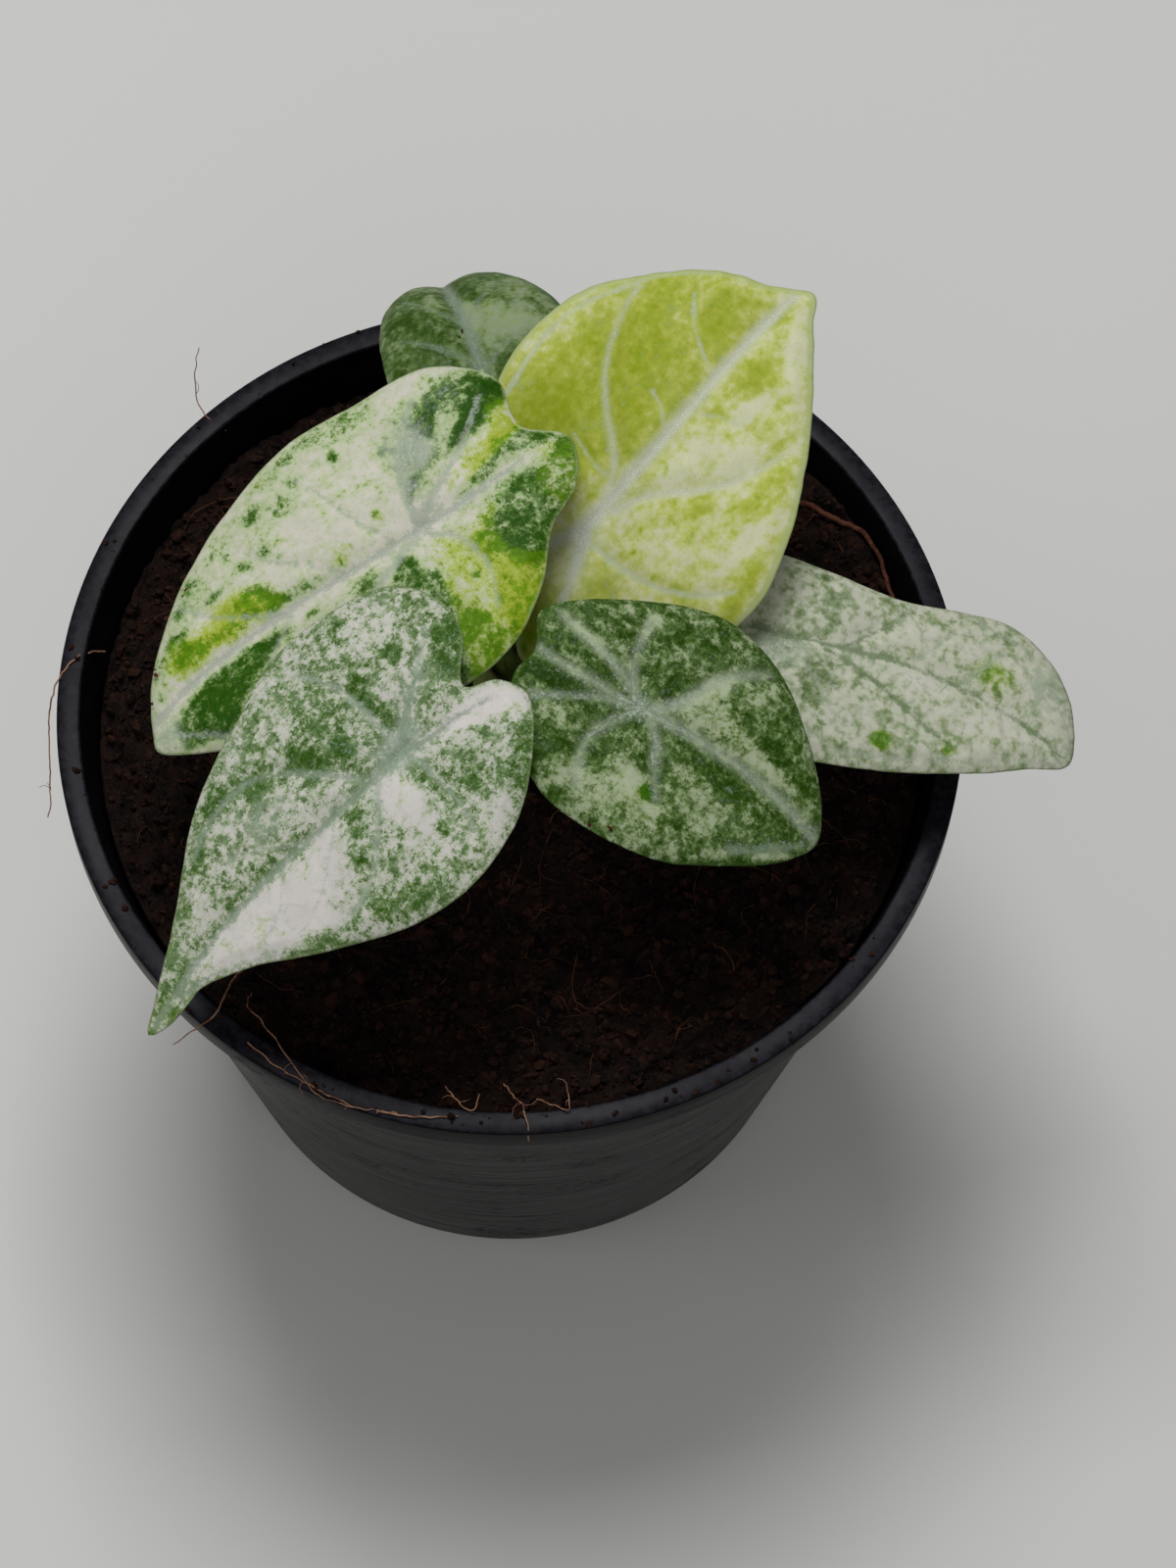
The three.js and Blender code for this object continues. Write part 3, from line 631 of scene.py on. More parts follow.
                (0.8, 0.5, [(-10, -10.5), (-8.6, -8.6), (-7.2, -7.1), (-6.3, -7.8), (-6.2, -9.6),
                    (-8, -10.4)]),
                (0.45, 1.3, [(-15.6, -10), (-12, -8.6), (-10, -9.6), (-11, -11.6), (-13.6, -12.2)]),
                (0.8, 0.3, [(-0.8, -2.6), (-2, -3.4), (-3.4, -4.8), (-2.5, -4.9), (-1.3, -3.8)]),
                (0.52, 0.9, [(-1, -2.4), (-1.3, -6), (-1.8, -10), (-4, -11.6), (-9, -12.2), (-14, -11.6),
                    (-17.4, -9), (-16.4, -6.4), (-12, -4.8), (-7.6, -4.2), (-4, -3.4)]),
                (0.42, 0.9, [(-9, 10.8), (-6.6, 14), (-2, 17.4), (-0.6, 13.2), (-1.4, 11), (-3.4, 9.6),
                    (-5, 9)]),
                (0.8, 0.8, [(-2.6, 17.6), (3, 19), (9, 18), (8, 12), (4.6, 8), (3.4, 5), (1.6, 5.2),
                    (1.2, 8.4), (0.4, 11), (-0.4, 13.6)]),
                (0.34, 1.0, [(-4, 4.4), (-4, 9.4), (-0.2, 10.4), (0.9, 7.4), (0.6, 4), (-0.6, 2.4)]),
                (0.8, 0.5, [(2.3, 1.8), (2.4, 4.6), (4.4, 5.6), (6.6, 4.2), (5.2, 2.6), (3.6, 1.6)]),
                (1.05, 0.7, [(17, 0), (20, 0.9), (23, 1.6), (26, 3.2), (29, 4.6), (31.4, 3.6), (33.6, 0.6),
                    (32, -1), (28, -1.9), (22, -1.5), (18, -1)]),
                (0.5, 1.5, [(8, 2), (14, 1.2), (22, 2.4), (30, 5.6), (24, 10), (14, 14), (8, 12), (6, 6)]),
                (0.3, 1.0, [(29, 5.6), (31.6, 4.4), (35, 1.4), (35.6, -1), (33, -2.2), (33.4, 1)]),
                (0.72, 0.4, [(10.6, -1.9), (13, -2.1), (15.4, -2.9), (14.6, -3.6), (12, -3)]),
                (0.72, 0.5, [(15.4, -3), (17.6, -3.2), (17.4, -4.8), (18.6, -6.6), (17, -5.8),
                    (16.2, -4.4)]),
                (0.5, 0.9, [(15.6, -3), (21, -3.6), (29.4, -4.2), (30, -5.4), (27.6, -8), (26, -6),
                    (23, -5.6), (21, -7), (18.6, -6.6), (16.6, -5.2)]),
                (0.48, 1.6, [(26, -8), (31, -5), (35, -2.4), (34, -5), (28, -10), (22, -12.4)]),
                (0.46, 2.4, [(-4, -13.6), (4, -13.8), (14, -11.6), (24, -9.6), (22, -12.8), (12, -16),
                    (4, -17.6), (-6, -16)]),
            ],
            "lime": [
                (0.5, 1.0, [(-19.6, 2), (-17.6, 6.4), (-13, 8.2), (-12, 4.6), (-13.4, 2.4), (-16.6, 0.8)]),
                (0.6, 0.8, [(-6.8, 11), (-4.4, 9), (-3.4, 6), (-5.6, 3.2), (-8.4, 3), (-6.4, 5.6),
                    (-6.6, 8.6)]),
                (0.75, 0.7, [(-15.4, -2.6), (-11, -1.3), (-7, -0.8), (-8, -1.8), (-11.6, -3), (-15, -4.4)]),
                (0.35, 1.2, [(-15.6, -3.2), (-10, -2.2), (-5, -1.2), (-6.4, -3), (-10, -4.4),
                    (-15.4, -5.4)]),
                (0.95, 0.9, [(-9, 10.8), (-6.6, 14), (-2, 17.4), (-0.6, 13.2), (-1.4, 11), (-3.4, 9.6),
                    (-5, 9)]),
                (0.75, 0.8, [(-2.6, 17.6), (3, 19), (6, 18), (3.4, 11), (1.6, 6.4), (0.8, 8.4), (0.2, 11),
                    (-0.6, 13.6)]),
                (0.6, 1.0, [(-4, 4.4), (-4, 9.4), (-0.2, 10.4), (0.9, 7.4), (0.6, 4), (-0.6, 2.4)]),
                (0.85, 0.9, [(15.6, -3), (21, -3.4), (29.4, -4.2), (30.4, -5.4), (28, -8), (25, -6.6),
                    (22, -7.6), (18.6, -6.8), (16.6, -5.2)]),
            ],
            "silver": [
                (0.75, 1.0, [(-1, -2.4), (-1.4, -6), (-2, -10.2), (-6, -11.4), (-7, -7.4), (-3.6, -4)]),
                (0.45, 1.0, [(-5, -4.6), (-9, -7), (-13, -9.6), (-14, -11.4), (-10, -12), (-5, -8)]),
            ],
        },
    },
    {
        "name": "leafFrontWhite", "node": "leaf_front_white", "slot": "leaf_white", "foot": 233,
        "hub": (-10.7, -17.3, 26), "heading": -133.8, "pitch": -15.6, "roll": 0,
        "bend": (0.4, 0.9), "camber": 0.4, "groove": 0.4, "wave": (0.5, 6), "seed": 41,
        "outline": [
            [40, 0], [37.5, 1.2], [33, 1.1], [27.5, 3.8], [20, 9.2], [12.5, 13.6], [5, 15.7], [-2.5, 14.4],
            [-9.5, 10.2], [-13.4, 5.2], [-12.3, 2], [-9.2, 0.1], [-13, -4], [-14.2, -8], [-12, -13.7],
            [-5, -16.1], [3, -17.3], [10, -15.1], [20, -11.7], [30, -5.6], [36, -2.3],
        ],
        "ground": {"green": 0.46, "lime": 0.0, "silver": 0.05},
        "veins": [
            ("rib", 1.3, 0.6, [(-1, 0.2), (6, 0.2), (10, -0.2), (20, -1), (27, -1.2), (33, -0.5), (39, 0)]),
            ("vein", 0.8, 0.4, [(4, 1), (7.5, 4.5), (10, 6.8), (13, 8.2), (17, 8.4)]),
            ("vein", 0.5, 0.3, [(-0.5, 2), (-0.5, 9), (1, 12.5)]),
            ("rib", 1.1, 0.5, [(0, 0.5), (-3, 1.6), (-7, 2.2), (-10, 3)]),
            ("rib", 0.8, 0.4, [(5, -0.8), (7.3, -4), (9.5, -6.6), (12, -8.9), (15, -10), (20, -9.9),
                (23.5, -8.2)]),
            ("vein", 0.7, 0.3, [(0, -1), (-0.4, -5), (-0.2, -9), (0.8, -12), (3, -14.5)]),
            ("rib", 1.2, 0.5, [(-0.5, -0.4), (-3, -2), (-7, -4.6), (-11, -7.2)]),
            ("vein", 0.4, 0.2, [(14, -0.8), (18, -4), (22, -6)]),
            ("vein", 0.4, 0.2, [(10, 0.3), (14, 3.5), (18, 5.6), (22, 6.4)]),
            ("vein", 0.35, 0.2, [(17, -0.5), (20, 2.4), (24, 3.8)]),
            ("vein", 0.5, 0.25, [(24, 5.4), (27, 3.2), (31, 1), (35, 0.4)]),
        ],
        "patches": {
            "green": [(3.4, 3.8, 1.9, 3.6, 8, -0.5), (21, 3, 9.6, 3.2, -10, -0.35),
                (17, 6, 4, 1.8, -20, -0.3), (-8, 3, 5, 1.3, -14, -0.5), (-11.2, 5, 1.6, 2.6, 20, -0.4),
                (4, 9.4, 3, 3, 0, -0.28), (-2, 12.6, 3, 1.4, 20, -0.15), (15, -4.4, 6, 2.6, -20, -0.12),
                (-7.4, -12, 3.4, 2, 0, -0.2), (11, -12, 3, 1.4, 0, -0.15), (4.5, -15.6, 3, 1, 0, -0.3),
                (27.5, -3.8, 4, 1.3, 25, -0.14), (-1.5, -4.6, 1, 3.4, 10, 0.42),
                (-1.9, -8, 0.9, 0.9, 0, 0.45), (4.2, -4.2, 1.2, 0.9, 40, 0.55),
                (7.2, -7, 1.4, 2.8, 10, 0.36), (3.4, -7, 2.4, 2.4, 0, 0.12), (8.8, -4.3, 0.8, 0.6, 0, 0.4),
                (12, -8, 2.8, 1, -35, 0.3), (17.6, -10.7, 2.4, 1, 0, 0.4), (23, -8.1, 2.6, 0.7, 28, 0.36),
                (-11.4, -4.4, 3.4, 1.5, 45, 0.36), (-6.5, -7.8, 0.9, 0.9, 0, 0.35),
                (0.4, 4, 1, 2.6, 0, 0.2), (8, 1.5, 1.4, 0.9, 0, 0.36), (11, 5, 1.3, 1.2, 0, 0.4),
                (2.9, 9.7, 0.6, 1.3, -20, 0.7), (10, 12.8, 1.6, 0.35, 0, 0.5),
                (12.4, 10.8, 1.8, 1, 0, 0.25), (16, 6.2, 0.9, 1.4, 0, 0.4), (-4, 7, 3, 3.6, 0, 0.12),
                (-10, 8.6, 2.2, 1.8, 0, 0.16), (-6, 11.6, 2.2, 1.1, 30, 0.2), (24, -1.8, 5, 0.7, 0, 0.25),
                (37.5, 0, 4, 2.4, 0, 0.1)],
            "lime": [(38, 0, 4, 2, 0, 0.3)],
            "silver": [(14, -5, 7, 2.6, -20, 0.28), (0, 0.2, 3.4, 2.2, 0, 0.7), (-5, -3.6, 4, 1.4, 32, 0.35)],
        },
        "areas": {
            "green": [
                (-0.45, 0.9, [(1.9, 1.3), (5.4, 0.9), (3.8, 2.4), (5.4, 3.6), (5, 6), (3, 6.6), (1.9, 5),
                    (2, 2.6)]),
                (-0.42, 1.3, [(10, 0.6), (16, 0.3), (24, -0.3), (31, -0.4), (27.4, 2.4), (24, 4.6),
                    (20.4, 6.5), (17.2, 7.1), (16.6, 5.2), (13.8, 4), (12, 2.6)]),
                (-0.35, 1.0, [(-12.8, 5), (-11, 2.4), (-6, 1.5), (-3, 1.9), (-4, 3.1), (-8, 4.3),
                    (-11.6, 6.2)]),
            ],
        },
    },
    {
        "name": "leafCentreDark", "node": "leaf_centre_dark", "slot": "leaf_dark", "foot": 309,
        "hub": (14.2, -10.7, 24), "heading": -30.8, "pitch": -16.9, "roll": 0,
        "bend": (0.6, 0.8), "camber": 0.5, "groove": 0.4, "wave": (0.3, 5), "seed": 53,
        "outline": [
            [23.8, 0.6], [21.5, 4.1], [16, 9.0], [10, 12.9], [3, 13.8], [-5, 10.7], [-12, 5.5],
            [-14.4, 2.2], [-12.7, -1.4], [-13, -5], [-10, -10], [-4, -13.8], [3, -14.1], [10.5, -12.4],
            [17, -8], [22, -3.3],
        ],
        "ground": {"green": 0.66, "lime": 0.1, "silver": 0.0},
        "veins": [
            ("rib", 1.3, 1.0, [(-0.5, -0.2), (5, 0.5), (10, 1.2), (15, 1.4), (20, 1), (23.3, 0.5)]),
            ("rib", 0.9, 0.4, [(-0.5, 0.2), (-3, 1.4), (-7, 2.3), (-12, 3)]),
            ("rib", 0.9, 0.4, [(-1.5, 0.6), (-3.2, 2.6), (-4, 5), (-4.4, 8)]),
            ("rib", 1.3, 0.6, [(1, 0.3), (3, 2.6), (4, 5.4), (5.6, 8.6), (9, 11.4)]),
            ("rib", 0.9, 0.4, [(-1, -0.6), (-5, -1), (-10, -1.4), (-12.4, -1.2)]),
            ("rib", 0.9, 0.4, [(-1.2, -0.8), (-4.6, -2), (-7.4, -4), (-10, -6)]),
            ("rib", 0.8, 0.4, [(-0.6, -1), (-1.8, -3.4), (-3.1, -6.4), (-2.4, -9), (-0.8, -11.4)]),
            ("rib", 0.8, 0.4, [(1.4, -0.6), (3.2, -2.2), (4.6, -5), (6.4, -7.4)]),
            ("vein", 0.8, 0.5, [(16, -6.6), (19.4, -4), (22.4, -1)]),
        ],
        "patches": {
            "green": [(5.4, 7, 2.8, 1.1, 62, -0.3), (6, 4, 3, 1.8, 0, -0.18),
                (10.6, 3.2, 3.6, 1.1, 0, -0.2), (9.6, 8.6, 2, 1.4, 0, -0.18), (15, 2.9, 3.4, 0.8, 0, -0.3),
                (-9, 2.6, 3.4, 0.8, -10, -0.35), (-4.2, 7.4, 0.8, 2, 0, -0.2),
                (3.2, -7.5, 2.8, 1.5, 0, -0.42), (0.3, -10, 3.2, 1.9, 0, -0.24),
                (5.5, -9.6, 3, 1.7, -10, -0.3), (4, -11.9, 3, 1.2, 0, -0.16), (8, -4.5, 2.4, 1.8, 0, -0.16),
                (11, -6.6, 3, 2, 20, -0.18), (13.4, -3.6, 3, 1.4, 0, -0.14), (-3, -10.6, 2, 2, 0, -0.22),
                (-6.4, -6.6, 2.4, 1.2, 20, -0.16), (15, -8, 2, 0.8, 30, -0.2), (20.5, -4, 3, 0.5, 38, -0.4),
                (5.4, -7.6, 1.0, 0.9, 0, 0.95), (11, -1.5, 3.2, 1, 0, 0.28), (14, 4.8, 2.8, 1.1, -10, 0.3),
                (-9, -3.1, 3.6, 1, 8, 0.42), (1, 3, 1.2, 2, 0, 0.22), (19, -1, 3, 1.4, 0, 0.1)],
            "lime": [(5.4, -7.6, 1.1, 1, 0, 0.6)],
            "silver": [(-8.6, -3, 3.2, 1, 8, 0.2), (0, -0.3, 2.2, 1.4, 0, 0.5)],
        },
        "areas": {
            "green": [
                (0.25, 0.5, [(-12.8, -2), (-9, -2.2), (-5, -2.2), (-7, -4), (-10, -4.7), (-12.8, -4.4)]),
                (-0.2, 1.0, [(2.8, 2.3), (4.2, 2.6), (5.6, 4.6), (7, 6.6), (6.6, 8.8), (5.6, 9), (4.6, 7),
                    (3.6, 5)]),
                (-0.12, 1.2, [(5, 1.6), (9, 2.3), (12.4, 3), (12, 4.6), (9, 5.4), (7.4, 5), (6, 3.6)]),
            ],
        },
    },
    {
        "name": "leafRightWhite", "node": "leaf_right_white", "slot": "leaf_white", "foot": 358,
        "hub": (27.7, 1.9, 15.5), "heading": -18.4, "pitch": -6.6, "roll": 0,
        "bend": (0.4, 0.8), "camber": 1.2, "groove": 0.4, "wave": (0.5, 4), "seed": 67,
        "outline": [
            [35.6, 0.8], [34.6, 5], [30.5, 10.6], [24.5, 13.2], [18.5, 12], [12, 10.3], [4, 10.5],
            [-3, 9.6], [-9, 7], [-11.5, 3.5], [-10, 0], [-11.5, -4], [-8.5, -8.5], [-2, -11.5],
            [4.5, -12.3], [11, -10.8], [19, -8.1], [26, -5], [31.5, -1.8],
        ],
        "ground": {"green": 0.3, "lime": 0.02, "silver": 0.1},
        "veins": [
            ("rib", 0.9, 0.5, [(-2, 0.4), (5, 1.4), (10, 2.4), (15, 3.2), (20, 3.3), (25, 3.0), (30, 2.4),
                (35, 1)]),
            ("rib", 0.7, 0.3, [(8, 2.3), (10.5, 5), (12.5, 8), (13.6, 9.4)]),
            ("vein", 0.6, 0.3, [(15, 3.2), (17, 6), (18.5, 9)]),
            ("vein", 0.6, 0.3, [(21, 3.3), (22.5, 6), (24.5, 9)]),
            ("vein", 0.5, 0.3, [(21, 11.5), (26, 11), (29, 9), (31.5, 6.5), (33.5, 4.2)]),
            ("rib", 0.6, 0.3, [(6, 1.2), (12, -0.2), (16, -1.8), (20, -3.1), (23.5, -4)]),
            ("vein", 0.6, 0.3, [(2, 0), (5, -2), (8, -4.5), (11, -8)]),
            ("vein", 0.4, 0.3, [(10.5, -9.5), (15, -8.2), (20, -6.3), (25, -4), (30, -1.5), (34, 0)]),
        ],
        "patches": {
            "green": [(1.5, -0.8, 3, 2.4, 0, 0.26), (6.4, -3, 2, 3, 0, 0.36), (5, 5.4, 4, 2.6, 0, 0.16),
                (3.2, 9, 1.6, 0.6, 20, 0.3), (24.2, 6.2, 2.4, 1.8, 0, 0.12), (15, -6.3, 1.0, 0.9, 0, 0.85),
                (22.3, -4, 0.9, 0.7, 30, 0.4), (24, 11.2, 3, 0.8, 0, 0.2), (17, 1.6, 4, 1.2, 0, -0.3),
                (27, 0.8, 4, 1.5, 0, -0.24), (15, 6.6, 2, 2, 0, -0.1), (22, -1, 5, 1.6, -10, -0.16),
                (8, -8.6, 2, 1, 0, 0.1)],
            "lime": [(24.2, 6.2, 2.6, 2, 0, 0.42), (15, -6.3, 1.1, 1, 0, 1), (22.3, -4, 1, 0.8, 0, 0.6)],
            "silver": [(1.4, -0.6, 3.2, 2.4, 0, 0.6), (30.5, 7.6, 3, 3, 0, 0.5),
                (34.6, 1.6, 1.6, 2.4, 0, 0.5)],
        },
        "areas": {},
    },
]


# The blade's own axes: forward to the tip, left, and out of its upper face
def bladeAxes(leaf):
    heading, pitch, roll = (leaf[k] * deg for k in ("heading", "pitch", "roll"))
    forward = np.array([math.cos(heading) * math.cos(pitch), math.sin(heading) * math.cos(pitch),
                        math.sin(pitch)])
    level = np.array([-math.sin(heading), math.cos(heading), 0])
    over = np.cross(forward, level)
    left = level * math.cos(roll) + over * math.sin(roll)
    out = over * math.cos(roll) - level * math.sin(roll)
    return forward, left, out


# Flat places, lifted by height, bent down along and across the midrib. All in mm
def bent(leaf, along, across, reach, height):
    forward, left, out = bladeAxes(leaf)
    bend = np.where(along > 0, leaf["bend"][0], leaf["bend"][1]) * deg
    camber = leaf["camber"] * deg
    turn = bend * along
    normal = out * np.cos(turn)[:, None] + forward * np.sin(turn)[:, None]
    lift, count = leaf["wave"]
    wave = lift * np.sin(count * np.arctan2(across, along)) * reach ** 3
    hub = np.array(leaf["hub"], float) + (0, 0, rimTop)
    return (
        hub + forward * (np.sin(turn) / bend)[:, None] - out * ((1 - np.cos(turn)) / bend)[:, None]
        + left * (np.sin(camber * across) / camber)[:, None]
        + normal * (height + wave - (1 - np.cos(camber * across)) / camber)[:, None]
    )


# How strong a marking is at each place: the leaf's ground, soft round patches, and drawn areas
def markingField(spots, leaf, field):
    total = np.full(len(spots), float(leaf["ground"][field]))
    for along, across, length, width, turn, strength in leaf["patches"].get(field, []):
        c, s = math.cos(turn * deg), math.sin(turn * deg)
        du, dv = spots[:, 0] - along, spots[:, 1] - across
        q = ((du * c + dv * s) / length) ** 2 + ((dv * c - du * s) / width) ** 2
        total += strength * np.exp(-q ** 1.6)
    for strength, softness, points in leaf["areas"].get(field, []):
        border = closedCurve(points, 60)
        away, _ = lineDistance(spots, np.vstack([border, border[:1]]))
        depth = np.where(isInside(spots, border), away, -away)
        total += strength * np.clip(0.5 + 0.5 * depth / softness, 0, 1)
    return np.clip(total, -0.5, 1.2)


def isInside(spots, border):
    inside = np.zeros(len(spots), bool)
    for (u0, v0), (u1, v1) in zip(border, np.roll(border, -1, axis=0)):
        crosses = (v0 > spots[:, 1]) != (v1 > spots[:, 1])
        reachU = (u1 - u0) * (spots[:, 1] - v0) / (v1 - v0 + 1e-12) + u0
        inside ^= crosses & (spots[:, 0] < reachU)
    return inside


def ripples(spots, seed):
    return np.array([noise.fractal(Vector((u * 0.35, v * 0.35, seed)), 1.0, 2.0, 3) for u, v in spots])


# A flat disk of radius 1 that faces up
def diskMesh(rings, spokes):
    bm = spun([(k / rings, 0) for k in range(rings + 1)], spokes, merge=1e-6)
    if sum(face.normal.z for face in bm.faces) < 0:
        bmesh.ops.reverse_faces(bm, faces=bm.faces)
    return fromBmesh(bm, "disk")


def readPlaces(mesh):
    places = np.empty(len(mesh.vertices) * 3)
    mesh.vertices.foreach_get("co", places)
    return places.reshape(-1, 3)


def store(mesh, name, values):
    mesh.attributes.new(name, "FLOAT", "POINT").data.foreach_set("value", np.asarray(values, np.float32))


def bladeMesh(leaf):
    mesh = diskMesh(blade["rings"], blade["spokes"])
    disk = readPlaces(mesh)
    reach = np.hypot(disk[:, 0], disk[:, 1])
    spoke = np.rint(np.arctan2(disk[:, 1], disk[:, 0]) / (2 * math.pi) * blade["spokes"]).astype(int)
    rim = closedCurve(leaf["outline"], blade["spokes"])
    rim *= 1 + blade["edgeWobble"] * ripples(rim * 0.8, leaf["seed"] + 0.5)[:, None]
    spots = rim[spoke % blade["spokes"]] * reach[:, None]
    margin, _ = lineDistance(spots, np.vstack([rim, rim[:1]]))

    nearest = {"rib": np.full(len(spots), -9.0), "vein": np.full(len(spots), -9.0)}
    dent = np.zeros(len(spots))
    for kind, wide, slim, points in leaf["veins"]:
        away, share = lineDistance(spots, openCurve(points))
        halfWidth = (wide + (slim - wide) * share) / 2
        nearest[kind] = np.maximum(nearest[kind], halfWidth - away)
        depth, width = blade["dents"][kind]
        dent = np.maximum(dent, depth * np.exp(-(away / width) ** 2) * (1 - 0.5 * share))
    midrib, _ = lineDistance(spots, openCurve(leaf["veins"][0][3]))
    hubFade = np.minimum(reach * np.linalg.norm(rim[spoke % blade["spokes"]], axis=1) / blade["hubFlat"], 1)
    groove = leaf["groove"] * (1 - np.exp(-(midrib / blade["grooveWidth"]) ** 2)) * hubFade
    edgeFade = np.clip(margin / blade["edgeFade"], 0, 1)
    puff = blade["puff"] * (1 - dent) * edgeFade * (0.35 + 0.65 * hubFade)
    rough = blade["ripple"] * ripples(spots, leaf["seed"]) * edgeFade
    dip = blade["ribDepth"] * np.exp(-(midrib / blade["ribWidth"]) ** 2) * (1 - 0.6 * hubFade)
    height = groove + puff + rough - dip

    places = bent(leaf, spots[:, 0], spots[:, 1], reach, height)
    mesh.vertices.foreach_set("co", places.ravel())
    flat = mesh.attributes.new("flatPlace", "FLOAT_VECTOR", "POINT")
    flatPlaces = np.column_stack([spots, np.full(len(spots), float(leaf["seed"]))])
    flat.data.foreach_set("vector", flatPlaces.astype(np.float32).ravel())
    for field in leaf["ground"]:
        store(mesh, field, markingField(spots, leaf, field))
    store(mesh, "rib", nearest["rib"])
    store(mesh, "vein", nearest["vein"])
    store(mesh, "edge", margin)
    mesh.update()

    # the sheet gets its thickness, which thins out at the edge
    obj = placed("sheet", mesh)
    group = obj.vertex_groups.new(name="body")
    group.add(list(range(len(spots))), 1.0, "REPLACE")
    for i in np.nonzero(margin < blade["thinFrom"])[0]:
        group.add([int(i)], float(margin[i] / blade["thinFrom"]), "REPLACE")
    solidify = obj.modifiers.new("thickness", "SOLIDIFY")
    solidify.thickness = blade["thickness"]
    solidify.offset = 0
    solidify.vertex_group = "body"
    solidify.thickness_vertex_group = blade["thinEdge"]
    solidify.use_even_offset = False
    solidify.material_offset = 1
    for label in ("upper", "under", "stalk"):
        mesh.materials.append(bpy.data.materials.new(label))
    return baked(obj)


# Round tubes along paths of x, y, z and radius
def tube(paths, sides):
    curve = bpy.data.curves.new("tube", "CURVE")
    curve.dimensions = "3D"
    curve.bevel_depth = 1
    curve.bevel_resolution = max(0, sides // 4 - 1)
    curve.use_fill_caps = True
    for path in paths:
        spline = curve.splines.new("POLY")
        spline.points.add(len(path) - 1)
        for point, (x, y, z, radius) in zip(spline.points, path):
            point.co = (x, y, z, 1)
            point.radius = radius
    return baked(placed("tube", curve))


# One place on the blade, by its flat measures
def spotOn(leaf, *measures):
    return bent(leaf, *np.array(measures, float)[:, None])[0]


def stalkFoot(leaf):
    x, y = stalk["place"]
    if leaf["foot"] is None:
        return x, y
    turn = leaf["foot"] * deg
    return x + stalk["socketRing"] * math.cos(turn), y + stalk["socketRing"] * math.sin(turn)


# The stalk's line: out of its socket in the crown, then in one easy curve to the blade's underside
def stalkPath(leaf):
    hub = spotOn(leaf, 0, 0, 0, 0)
    _, _, out = bladeAxes(leaf)
    x, y = stalkFoot(leaf)
    foot = np.array([x, y, crownTop - stalk["socketDepth"] + 0.3])
    collar = np.array([x, y, crownTop + 0.6])
    neck = hub - out * stalk["neck"]
    middle = (collar + neck) / 2
    middle[2] += stalk["bow"] * np.linalg.norm(neck - collar)
    knots = np.array([foot, collar, middle, neck, hub - out * 0.1])
    spread = np.r_[0, np.cumsum(np.linalg.norm(np.diff(knots, axis=0), axis=1) ** 0.5)]
    return curveThrough(knots, spread, stalk["steps"])


# Catmull-Rom curve through the knots
def curveThrough(knots, spread, steps):
    first = 2 * knots[0] - knots[1]
    last = 2 * knots[-1] - knots[-2]
    points = np.vstack([first, knots, last])
    times = np.r_[spread[0] - (spread[1] - spread[0]), spread, 2 * spread[-1] - spread[-2]]
    line = []
    for s in np.linspace(spread[0], spread[-1], steps + 1):
        i = min(np.searchsorted(spread, s, side="right") - 1, len(knots) - 2) + 1
        p, t = points[i - 1:i + 3], times[i - 1:i + 3]
        a = [between(s, t[k], t[k + 1], p[k], p[k + 1]) for k in range(3)]
        b = [between(s, t[k], t[k + 2], a[k], a[k + 1]) for k in range(2)]
        line.append(between(s, t[1], t[2], b[0], b[1]))
    return np.array(line)


def stalkMesh(leaf):
    line = stalkPath(leaf)
    path = []
    for i, place in enumerate(line):
        share = i / (len(line) - 1)
        radius = stalk["footRadius"] + (stalk["topRadius"] - stalk["footRadius"]) * share
        radius += stalk["flare"] * math.exp(-((1 - share) * 30) ** 1.5)
        path.append((*place, radius))
    mesh = tube([path], stalk["sides"])
    for label in ("upper", "under", "stalk"):
        mesh.materials.append(None)
    mesh.polygons.foreach_set("material_index", [2] * len(mesh.polygons))
    return mesh


for leaf in leaves:
    whole = joined([bladeMesh(leaf), stalkMesh(leaf)])
    skins = [leafMaterial(leaf["name"] + "Upper", palettes[leaf["node"]]),
             leafMaterial(leaf["name"] + "Under", palettes[leaf["node"]], under=True), stalkSkin]
    newPiece(leaf["name"], whole, skins, leaf["slot"], leaf["node"])
    print("leaf", leaf["name"], len(whole.polygons), "faces")


# Pot: a thin tapered shell, a flat rim band and a skirt turned down from it
pot = {
    "height": rimTop, "rimRadius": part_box("pot")[1].x / mm, "band": 2.6,
    "skirtDrop": 4.0, "skirtThickness": 0.9, "bandThickness": 1.1,
    "baseRadius": 36.0, "wall": 0.9, "floor": 1.2,
    "holes": 8, "holeRadius": 3.5, "holeCircle": 24.0,
    "edgeRound": 0.3, "spokes": 192, "holeSides": 40,
}
potSkin = {"relief": (0.25, 0.05), "specular": 0.04}


# The inner wall's radius at a height
def innerRadius(z):
    low = pot["baseRadius"] - pot["wall"]
    high = pot["rimRadius"] - pot["band"]
    return low + (high - low) * (z - pot["floor"]) / (pot["height"] - pot["floor"])


